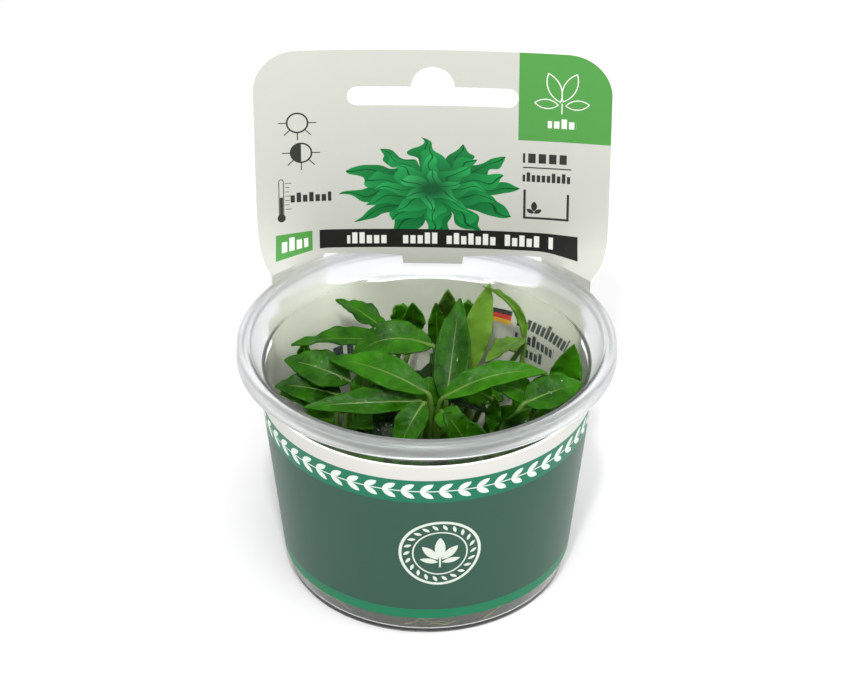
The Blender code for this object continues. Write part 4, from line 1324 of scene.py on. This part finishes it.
# %% Leaves that show
SHOWN_LEAVES = [
    Leaf("back_left_pointer", "back_left", neck=seen(386, 331, 39.5), tip=seen(336, 299, 42.5),
         width=5.0, bow=(0, 0, 0.7), tone=0.45),
    Leaf("centre_folded", "centre", neck=seen(433, 346, 41.0), tip=seen(351, 361, 38.6),
         width=7.0, bow=(-1, 0, 3.1), face=TILTED, fold=16, tone=0.55),
    Leaf("left_over_centre", "left", neck=seen(398, 345, 38.5), tip=seen(291, 344.5, 40.5),
         width=5.8, bow=(0, 0, 1.4), tone=0.5),
    Leaf("left_broad", "left", neck=seen(350, 381, 36.5), tip=seen(284, 359.5, 38.5),
         width=7.2, bow=(0, 0, 0.7), face=TILTED, fold=16, tone=0.45),
    Leaf("left_puckered", "left", neck=seen(341, 396, 33.6), tip=seen(275, 386, 35.4),
         width=6.6, bow=(0, 0, 0.8), face=TILTED, fold=16, tone=0.3),
    Leaf("left_back_small", "left", neck=seen(308, 372, 30), tip=seen(303, 341, 37.6),
         width=3.4, bow=(0, 0, 0), face=TO_FRONT, tone=0.4),
    Leaf("bright_diagonal", "centre", neck=seen(427, 393, 38.5), tip=seen(329, 359, 40),
         width=6.4, bow=(0, 0, 1.5), face=TILTED, tone=0.65),
    Leaf("front_left_long", "front_left", neck=seen(420, 401, 36.4), tip=seen(303, 407, 35.8),
         width=5.2, bow=(0, 0, 0.3), face=TILTED, tone=0.5),
    # Painted light: this low leaf stands in shade, and its bright tone paints in the light it lacks.
    Leaf("left_low", "left", neck=seen(334, 406, 30.0), tip=seen(280, 393, 33.4),
         width=6.4, bow=(0, 0, 1.2), face=TILTED, tone=0.9),
    Leaf("front_middle", "front_left", neck=seen(424, 403, 38.0), tip=seen(393, 466, 28.5),
         width=5.6, bow=(0, -0.8, 2), face=TILTED, tone=0.55),
    Leaf("back_left_small", "back_left", neck=seen(414, 332, 34), tip=seen(412.5, 304, 43),
         width=4.6, bow=(0, 0, 0), face=TO_FRONT, tone=0.85),
    Leaf("back_dark", "back_right", neck=seen(438, 345, 32), tip=seen(436, 304, 42),
         width=3.6, bow=(0, 0, 0), face=TO_FRONT, tone=0.7),
    Leaf("back_rounded", "back_right", neck=seen(447, 325, 34), tip=seen(448, 291, 44.6),
         width=4.4, bow=(0, 0, 0), face=TO_FRONT, tone=0.6),
    Leaf("centre_upright", "centre", neck=seen(446, 404, 33.5), tip=seen(460, 298, 46.2),
         width=6.8, bow=(0, 0, 0.6), face=TILTED, fold=24, tone=0.4),
    Leaf("behind_tall_yellow", "back_right", neck=seen(471, 325, 33), tip=seen(468, 301, 42.6),
         width=3.8, bow=(0, 0, 0), face=TO_FRONT, tone=0.6),
    Leaf("tall_yellow", "back_right", neck=seen(466, 374, 30.5), tip=seen(490, 283, 46.4),
         width=5.6, bow=(0, 0, 0.8), face=TO_FRONT, fold=14, tone=0.95),
    Leaf("arching_narrow", "back_right", neck=seen(523, 344, 34.8), tip=seen(483, 286, 46.4),
         width=1.7, bow=(2.4, -1.2, 2.2), face=TO_FRONT, tone=0.6),
    Leaf("right_small_tilted", "right", neck=seen(523, 339, 36.8), tip=seen(485.6, 361, 38.2),
         width=4.4, bow=(0, 0, 0.6), tone=0.45),
    Leaf("right_bright_long", "centre", neck=seen(443, 398, 36.8), tip=seen(547, 372.5, 40.4),
         width=5.2, bow=(0, 0, 2.2), face=TILTED, tone=0.8),
    Leaf("far_right_upright", "right", neck=seen(560, 392, 33), tip=seen(574, 344, 43.2),
         width=6.2, bow=(0, 0, 0), face=TO_FRONT, tone=0.8),
    Leaf("right_pale", "right", neck=seen(535, 400, 34.9), tip=seen(493, 387, 37.2),
         width=5.2, bow=(0, 0, 1.2), face=TILTED, tone=0.8),
    Leaf("right_broad", "front_right", neck=seen(525, 403, 36.4), tip=seen(583, 383, 38.0),
         width=7.2, bow=(0, 0, 0.4), face=TILTED, tone=0.5),
    Leaf("right_broad_low", "right", neck=seen(512, 417, 28.4), tip=seen(549, 406, 30.2),
         width=4.8, bow=(0, 0, 1), face=TILTED, tone=0.8),
    Leaf("front_small_tip", "front_right", neck=seen(480, 450, 32), tip=seen(469.5, 420, 38.5),
         width=4.8, bow=(0, 0, 0), face=TO_FRONT, tone=0.5),
    Leaf("front_low_dark", "front_right", neck=seen(441, 411, 35.2), tip=seen(461, 445, 31.2),
         width=5.4, bow=(0, -0.4, 1.5), face=TILTED, tone=0.6),
    Leaf("right_low_dark", "right", neck=seen(492, 430, 25.5), tip=seen(496, 397, 32.5),
         width=3.2, bow=(0, 0, 0.4), face=TILTED, tone=0.7),
    Leaf("left_low_dark", "front_left", neck=seen(405, 418, 30.0), tip=seen(348, 427, 29.5),
         width=6.0, bow=(0, 0, 1), face=TILTED, tone=0.7),
]


def place_feet(leaves):
    """Gives each leaf the free place round its crown that is nearest to its neck."""
    taken = set()
    for leaf in leaves:
        free = [place for place in range(SHOOT_PLACES) if (leaf.crown, place) not in taken]
        place = min(free, key=lambda p: (leaf.foot_at(p) - leaf.neck).length)
        taken.add((leaf.crown, place))
        leaf.base = leaf.foot_at(place)


place_feet(SHOWN_LEAVES)
print("leaves that show", len(SHOWN_LEAVES))

# %% [markdown]
# A living leaf is a thin skin over green flesh. Its colour is deeper in the blade and paler along
# the midrib and the side veins, some light comes through it, and it is wet from the closed cup, so
# a coat of water gives small sharp highlights over a softer sheen. The veins are drawn on the
# blade's own UV map: side veins leave the midrib and bend toward the tip.

# %% Leaf material


def leaf_material(name, dark, bright):
    mat, tree, shader = new_material(
        name,
        roughness=0.32,
        ior=1.42,
        specular_ior_level=0.08,
        coat_weight=0.28,
        coat_roughness=0.04,
        coat_ior=1.33,
        subsurface_weight=0.1,
    )
    shader.inputs["Subsurface Radius"].default_value = (0.4 * MM, 1.0 * MM, 0.2 * MM)
    shader.inputs["Subsurface Scale"].default_value = 1.0
    uv = add(tree, "ShaderNodeUVMap", uv_map="UVMap")
    parts = tree.nodes.new("ShaderNodeSeparateXYZ")
    tree.links.new(uv, parts.inputs[0])
    across = add(tree, "ShaderNodeMath", parts.outputs[0], 0.5, operation="SUBTRACT")
    out = add(tree, "ShaderNodeMath", across, operation="ABSOLUTE")
    spot = add(tree, "ShaderNodeTexCoord", out=3)
    grain = add(tree, "ShaderNodeTexNoise", named={"Vector": spot, "Scale": 700.0, "Detail": 4.0})
    cloud = add(tree, "ShaderNodeTexNoise", named={"Vector": spot, "Scale": 220.0, "Detail": 4.0})
    tone = add(tree, "ShaderNodeAttribute", out=2, attribute_name="tone")
    tone = add(tree, "ShaderNodeMath", cloud, 1.4, tone, operation="MULTIPLY_ADD")
    tone = add(tree, "ShaderNodeMath", tone, 0.7, operation="SUBTRACT", use_clamp=True)
    colour = add(
        tree, "ShaderNodeMix", out=MIXED, data_type="RGBA",
        named={SHARE: tone, FIRST: paint(dark), SECOND: paint(bright)},
    )
    browned = {"To Min": 0.0, "To Max": 0.6}
    tip = add(tree, "ShaderNodeMapRange", parts.outputs[1], 0.93, 1.0, named=browned)
    colour = add(
        tree, "ShaderNodeMix", out=MIXED, data_type="RGBA",
        named={SHARE: tip, FIRST: colour, SECOND: paint("#5A4A1C")},
    )
    bend = add(tree, "ShaderNodeMath", out, -2.6, operation="MULTIPLY")
    run = add(tree, "ShaderNodeMath", parts.outputs[1], VEIN_COUNT, bend, operation="MULTIPLY_ADD")
    vein = add(tree, "ShaderNodeMath", run, operation="FRACT")
    vein = add(tree, "ShaderNodeMath", vein, 0.5, operation="SUBTRACT")
    vein = add(tree, "ShaderNodeMath", vein, operation="ABSOLUTE")
    vein = add(tree, "ShaderNodeMapRange", vein, 0.5, 0.4, named={"To Min": 0.32, "To Max": 0.0})
    colour = add(
        tree, "ShaderNodeMix", out=MIXED, data_type="RGBA",
        named={SHARE: vein, FIRST: colour, SECOND: paint(bright)},
    )
    rib = add(tree, "ShaderNodeMapRange", out, 0.015, 0.055, named={"To Min": 0.7, "To Max": 0.0})
    colour = add(
        tree, "ShaderNodeMix", out=MIXED, data_type="RGBA",
        named={SHARE: rib, FIRST: colour, SECOND: paint("#5F8F2C")},
    )
    tree.links.new(colour, shader.inputs["Base Color"])
    height = add(tree, "ShaderNodeMath", vein, -1.0, grain, operation="MULTIPLY_ADD")
    relief = add(tree, "ShaderNodeBump", named={"Height": height, "Distance": 0.12 * MM, "Strength": 0.8})
    tree.links.new(relief, shader.inputs["Normal"])
    drops = add(tree, "ShaderNodeTexNoise", named={"Vector": spot, "Scale": 1000.0, "Detail": 1.0})
    film = add(tree, "ShaderNodeBump", named={"Height": drops, "Distance": 0.5 * MM, "Strength": 1.0})
    tree.links.new(film, shader.inputs["Coat Normal"])
    return mat


def stalk_material(name, dark, bright):
    mat, tree, shader = new_material(
        name, roughness=0.36, ior=1.42, specular_ior_level=0.2, coat_weight=0.3, coat_roughness=0.1
    )
    spot = add(tree, "ShaderNodeTexCoord", out=3)
    streak = add(tree, "ShaderNodeTexNoise", named={"Vector": spot, "Scale": 300.0, "Detail": 3.0})
    colour = add(
        tree, "ShaderNodeMix", out=MIXED, data_type="RGBA",
        named={SHARE: streak, FIRST: paint(dark), SECOND: paint(bright)},
    )
    tree.links.new(colour, shader.inputs["Base Color"])
    relief = add(tree, "ShaderNodeBump", named={"Height": streak, "Distance": 0.04 * MM, "Strength": 0.4})
    tree.links.new(relief, shader.inputs["Normal"])
    return mat


leaf_paints = {
    "leaf": leaf_material("grown leaf", "#051902", "#367A0A"),
    "young_leaf": leaf_material("young leaf", "#2A520E", "#6C9832"),
    "shaded_leaf": leaf_material("shaded leaf", "#051902", "#3A7A0E"),
}
leaf_stalk = stalk_material("leaf stalk", "#30591A", "#6C9034")
print("leaf materials", ", ".join(leaf_paints))

# %% [markdown]
# Each leaf is now grown as a piece of its own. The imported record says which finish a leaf's solid
# has, so the fine leaf takes the same one and stands for that solid.

# %% Make the leaves that show
slot_of_node = {part["node"]: part["material_slot"] for part in frame["record"]["subparts"]}
for leaf in SHOWN_LEAVES:
    node = "leaf_" + leaf.name
    slot = slot_of_node[node]
    fine = leaf_piece("fine_" + leaf.name, leaf.grow(leaf_mesh()), leaf_paints[slot], leaf_stalk)
    finished(fine, slot, node)

# %% [markdown]
# Under these, each crown pushes up many small leaves that only fill the dark of the cup. They are
# strewn at random with a fixed seed: a small leaf is kept if it lies inside the cup and touches no
# leaf that is there already. Before them come a few larger ones, read off the picture like the
# leaves above, where it shows leaves deep in the cup. Each of those is moved a little at random
# until it fits, and is left out if it never does.

# %% Undergrowth
UNDERGROWTH_TRIES = 8000
UNDERGROWTH_CLEARANCE = 0.9 * MM
GAP_TRIES = 120
GAP_STRAY = 0.05
UNDERGROWTH_SEED = 5
NEXT_HEADING = 2.4
FOOT_REACH = 1.6
SMALL_REACH = (2.0, 12.0)
SMALL_HEIGHT = (3.0, 25.0)
SMALL_RISE = (0.0, 7.0)
SMALL_WIDTH = (4.0, 6.6)
# The small leaves' tones differ at random, and the range also reaches up bright as painted light, so that
# leaves deep in the cup stand lighter than their shade makes them.
SMALL_TONE = (0.2, 1.0)
GAP_LEAVES = [
    {"crown": "left", "neck": seen(368, 385, 29), "tip": seen(322, 362, 32),
     "width": 6.5, "face": TILTED},
    {"crown": "centre", "neck": seen(440, 372, 28), "tip": seen(398, 358, 31),
     "width": 6.5, "face": TILTED},
    {"crown": "front_left", "neck": seen(372, 430, 22), "tip": seen(318, 405, 27),
     "width": 6.5, "face": TILTED},
    {"crown": "right", "neck": seen(505, 425, 20), "tip": seen(530, 392, 27),
     "width": 6.0, "face": TILTED},
    {"crown": "right", "neck": seen(528, 430, 22), "tip": seen(556, 402, 28),
     "width": 5.0, "face": TILTED},
    {"crown": "front_left", "neck": seen(410, 430, 24), "tip": seen(355, 415, 28),
     "width": 6.0, "face": TILTED},
    {"crown": "back_left", "neck": seen(432, 352, 27), "tip": seen(430, 312, 38),
     "width": 4.5, "face": TO_FRONT},
    {"crown": "right", "neck": seen(480, 405, 24), "tip": seen(478, 380, 30),
     "width": 5.0, "face": TO_FRONT},
    {"crown": "left", "neck": seen(330, 415, 22), "tip": seen(290, 392, 29),
     "width": 6.0, "face": TILTED},
    {"crown": "right", "neck": seen(551, 400, 26), "tip": seen(568, 378, 33),
     "width": 5.0, "face": TO_FRONT},
    {"crown": "front_left", "neck": seen(372, 434, 27), "tip": seen(312, 410, 31),
     "width": 6.0, "face": TILTED},
    {"crown": "left", "neck": seen(350, 424, 29), "tip": seen(300, 400, 31),
     "width": 5.5, "face": TILTED},
    {"crown": "front_right", "neck": seen(500, 436, 26), "tip": seen(545, 412, 31),
     "width": 6.0, "face": TILTED},
    {"crown": "right", "neck": seen(540, 418, 28), "tip": seen(572, 396, 31),
     "width": 5.0, "face": TILTED},
    {"crown": "front_left", "neck": seen(400, 436, 26), "tip": seen(360, 418, 31),
     "width": 5.5, "face": TILTED},
    {"crown": "front_right", "neck": seen(470, 440, 24), "tip": seen(500, 405, 32),
     "width": 5.5, "face": TO_FRONT},
    {"crown": "back_left", "neck": seen(405, 322, 36), "tip": seen(395, 305, 41),
     "width": 4.5, "face": TO_FRONT},
    {"crown": "back_right", "neck": seen(470, 330, 36), "tip": seen(466, 303, 43),
     "width": 4.0, "face": TO_FRONT},
]


def tree_of(mesh):
    return BVHTree.FromPolygons([v.co for v in mesh.vertices], [p.vertices for p in mesh.polygons])


def small_leaf(chance, crown, count):
    """A small leaf at a random heading and height."""
    turn = count * NEXT_HEADING
    heading = Vector((math.cos(turn), math.sin(turn), 0.0))
    foot = Vector((*CROWNS[crown], SHOOT_BASE / MM))
    reach = chance.uniform(*SMALL_REACH)
    height = chance.uniform(*SMALL_HEIGHT)
    neck = foot + heading * reach * 0.4 + Vector((0.0, 0.0, height))
    tip = foot + heading * reach + Vector((0.0, 0.0, height + chance.uniform(*SMALL_RISE)))
    face = chance.choice([TILTED, TO_FRONT, TO_FRONT])
    width = chance.uniform(*SMALL_WIDTH)
    tone = chance.uniform(*SMALL_TONE)
    leaf = Leaf(f"{crown}_{count}", crown, neck, tip, width, (0, 0, 0.6), face, 20.0, tone=tone)
    leaf.base = foot * MM + heading * FOOT_REACH * MM
    return leaf


def in_cup(mesh):
    return all(v.co.xy.length < cup_inner(v.co.z) - UNDERGROWTH_CLEARANCE for v in mesh.vertices)


chance = random.Random(UNDERGROWTH_SEED)
lower = [piece for node, piece in frame["nodes"].items() if node.startswith("leaf_under_")]
shown = [piece for piece in bpy.data.objects if piece.name.startswith("fine_")]
standing = [tree_of(piece.data) for piece in lower + shown]
strewn = {crown: leaf_mesh() for crown in CROWNS}


def aimed_leaf(number, attempt):
    """A leaf that fills a gap in the view, moved a little more with each attempt."""
    crown, neck, tip, width, face = GAP_LEAVES[number].values()
    stray = GAP_STRAY * attempt
    neck = [v + chance.uniform(-stray, stray) for v in neck]
    tip = [v + chance.uniform(-stray, stray) for v in tip]
    # Painted light: these leaves deep in the cup all get a bright tone that paints in the light their shade
    # takes away.
    leaf = Leaf(f"aimed_{number}", crown, neck, tip, width, (0, 0, 0.6), face, 20.0, tone=0.9)
    heading = (leaf.neck - leaf.foot_at(0)).to_2d().normalized().to_3d()
    leaf.base = Vector((*CROWNS[crown], SHOOT_BASE / MM)) * MM + heading * FOOT_REACH * MM
    return leaf


def fits(leaf):
    """Grows the leaf if there is room for it, and says whether there was."""
    if leaf.tip.xy.length > cup_inner(leaf.tip.z) - 2.0 * MM:
        return False
    trial = bpy.data.meshes.new("trial")
    leaf.grow(leaf_mesh(), 4, 7, 6, 5).to_mesh(trial)
    here = tree_of(trial)
    free = in_cup(trial) and not any(here.overlap(other) for other in standing)
    bpy.data.meshes.remove(trial)
    if free:
        leaf.grow(strewn[leaf.crown], 8, 18, 10, 8)
        standing.append(here)
    return free


aimed = [
    any(fits(aimed_leaf(number, attempt)) for attempt in range(GAP_TRIES))
    for number in range(len(GAP_LEAVES))
]
kept = sum(
    fits(small_leaf(chance, chance.choice(list(CROWNS)), count)) for count in range(UNDERGROWTH_TRIES)
)
for crown, bm in strewn.items():
    if bm.faces:
        low_growth = leaf_piece("undergrowth_" + crown, bm, leaf_paints["shaded_leaf"], leaf_stalk)
        finished(low_growth, "shaded_leaf")
print("leaves in gaps", sum(aimed), "of", len(aimed), "and small leaves kept", kept)

# %% [markdown]
# A few thin roots have grown out of the gel and run along the bottom of the wall, where they show
# as pale green threads under the sleeve. Each run is a bearing and a height to start from, and a
# bearing and a height to end at, in degrees from the front and in millimetres.

# %% Roots
ROOT_RADIUS = 0.2 * MM
ROOT_RUNS = [
    (-3.0, 9.0, 3.9, 1.6),
    (1.0, 12.0, 1.5, 2.6),
    (-9.0, 2.0, 2.2, 4.1),
    (24.0, 41.0, 2.0, 3.8),
    (-52.0, -33.0, 3.6, 1.9),
]


def root_route(start, end, low, high):
    """A wandering run round the wall, from one bearing in degrees and height to another."""
    route = []
    for step in range(15):
        t = step / 14.0
        bearing = math.radians(start + (end - start) * t)
        height = (low + (high - low) * t + 0.5 * math.sin(5.0 * t + start)) * MM
        reach = cup_inner(height) - 0.05 * MM
        point = Vector((math.sin(bearing) * reach, -math.cos(bearing) * reach, max(height, 1.0 * MM)))
        route.append((point, ROOT_RADIUS * (1.0 - 0.6 * t)))
    return route


roots = leaf_mesh()
for run in ROOT_RUNS:
    tube(roots, root_route(*run), 8, Vector((0.0, 0.0, 1.0)))
bmesh.ops.recalc_face_normals(roots, faces=roots.faces)
pale_root = stalk_material("pale root", "#9A9A62", "#B9B98A")
root_piece = new_piece("roots_at_wall", roots, pale_root)
root_piece.data.shade_smooth()
finished(root_piece, "rootstock")

# %% [markdown]
# The lower leaves lie in the shade between the others. The solids already have the right form and
# place, so they stay, in the shaded leaf's finish. The crowns stay too, as short pale rootstocks.

# %% Lower leaves and crowns
rootstock = stalk_material("pale rootstock", "#5A5A30", "#9AA560")
for node, piece in frame["nodes"].items():
    if node.startswith("leaf_under_"):
        mat = leaf_paints["shaded_leaf"]
    elif node.startswith("crown_"):
        mat = rootstock
    else:
        continue
    for slot in piece.material_slots:
        slot.material = mat
    print(node, "keeps its solid")
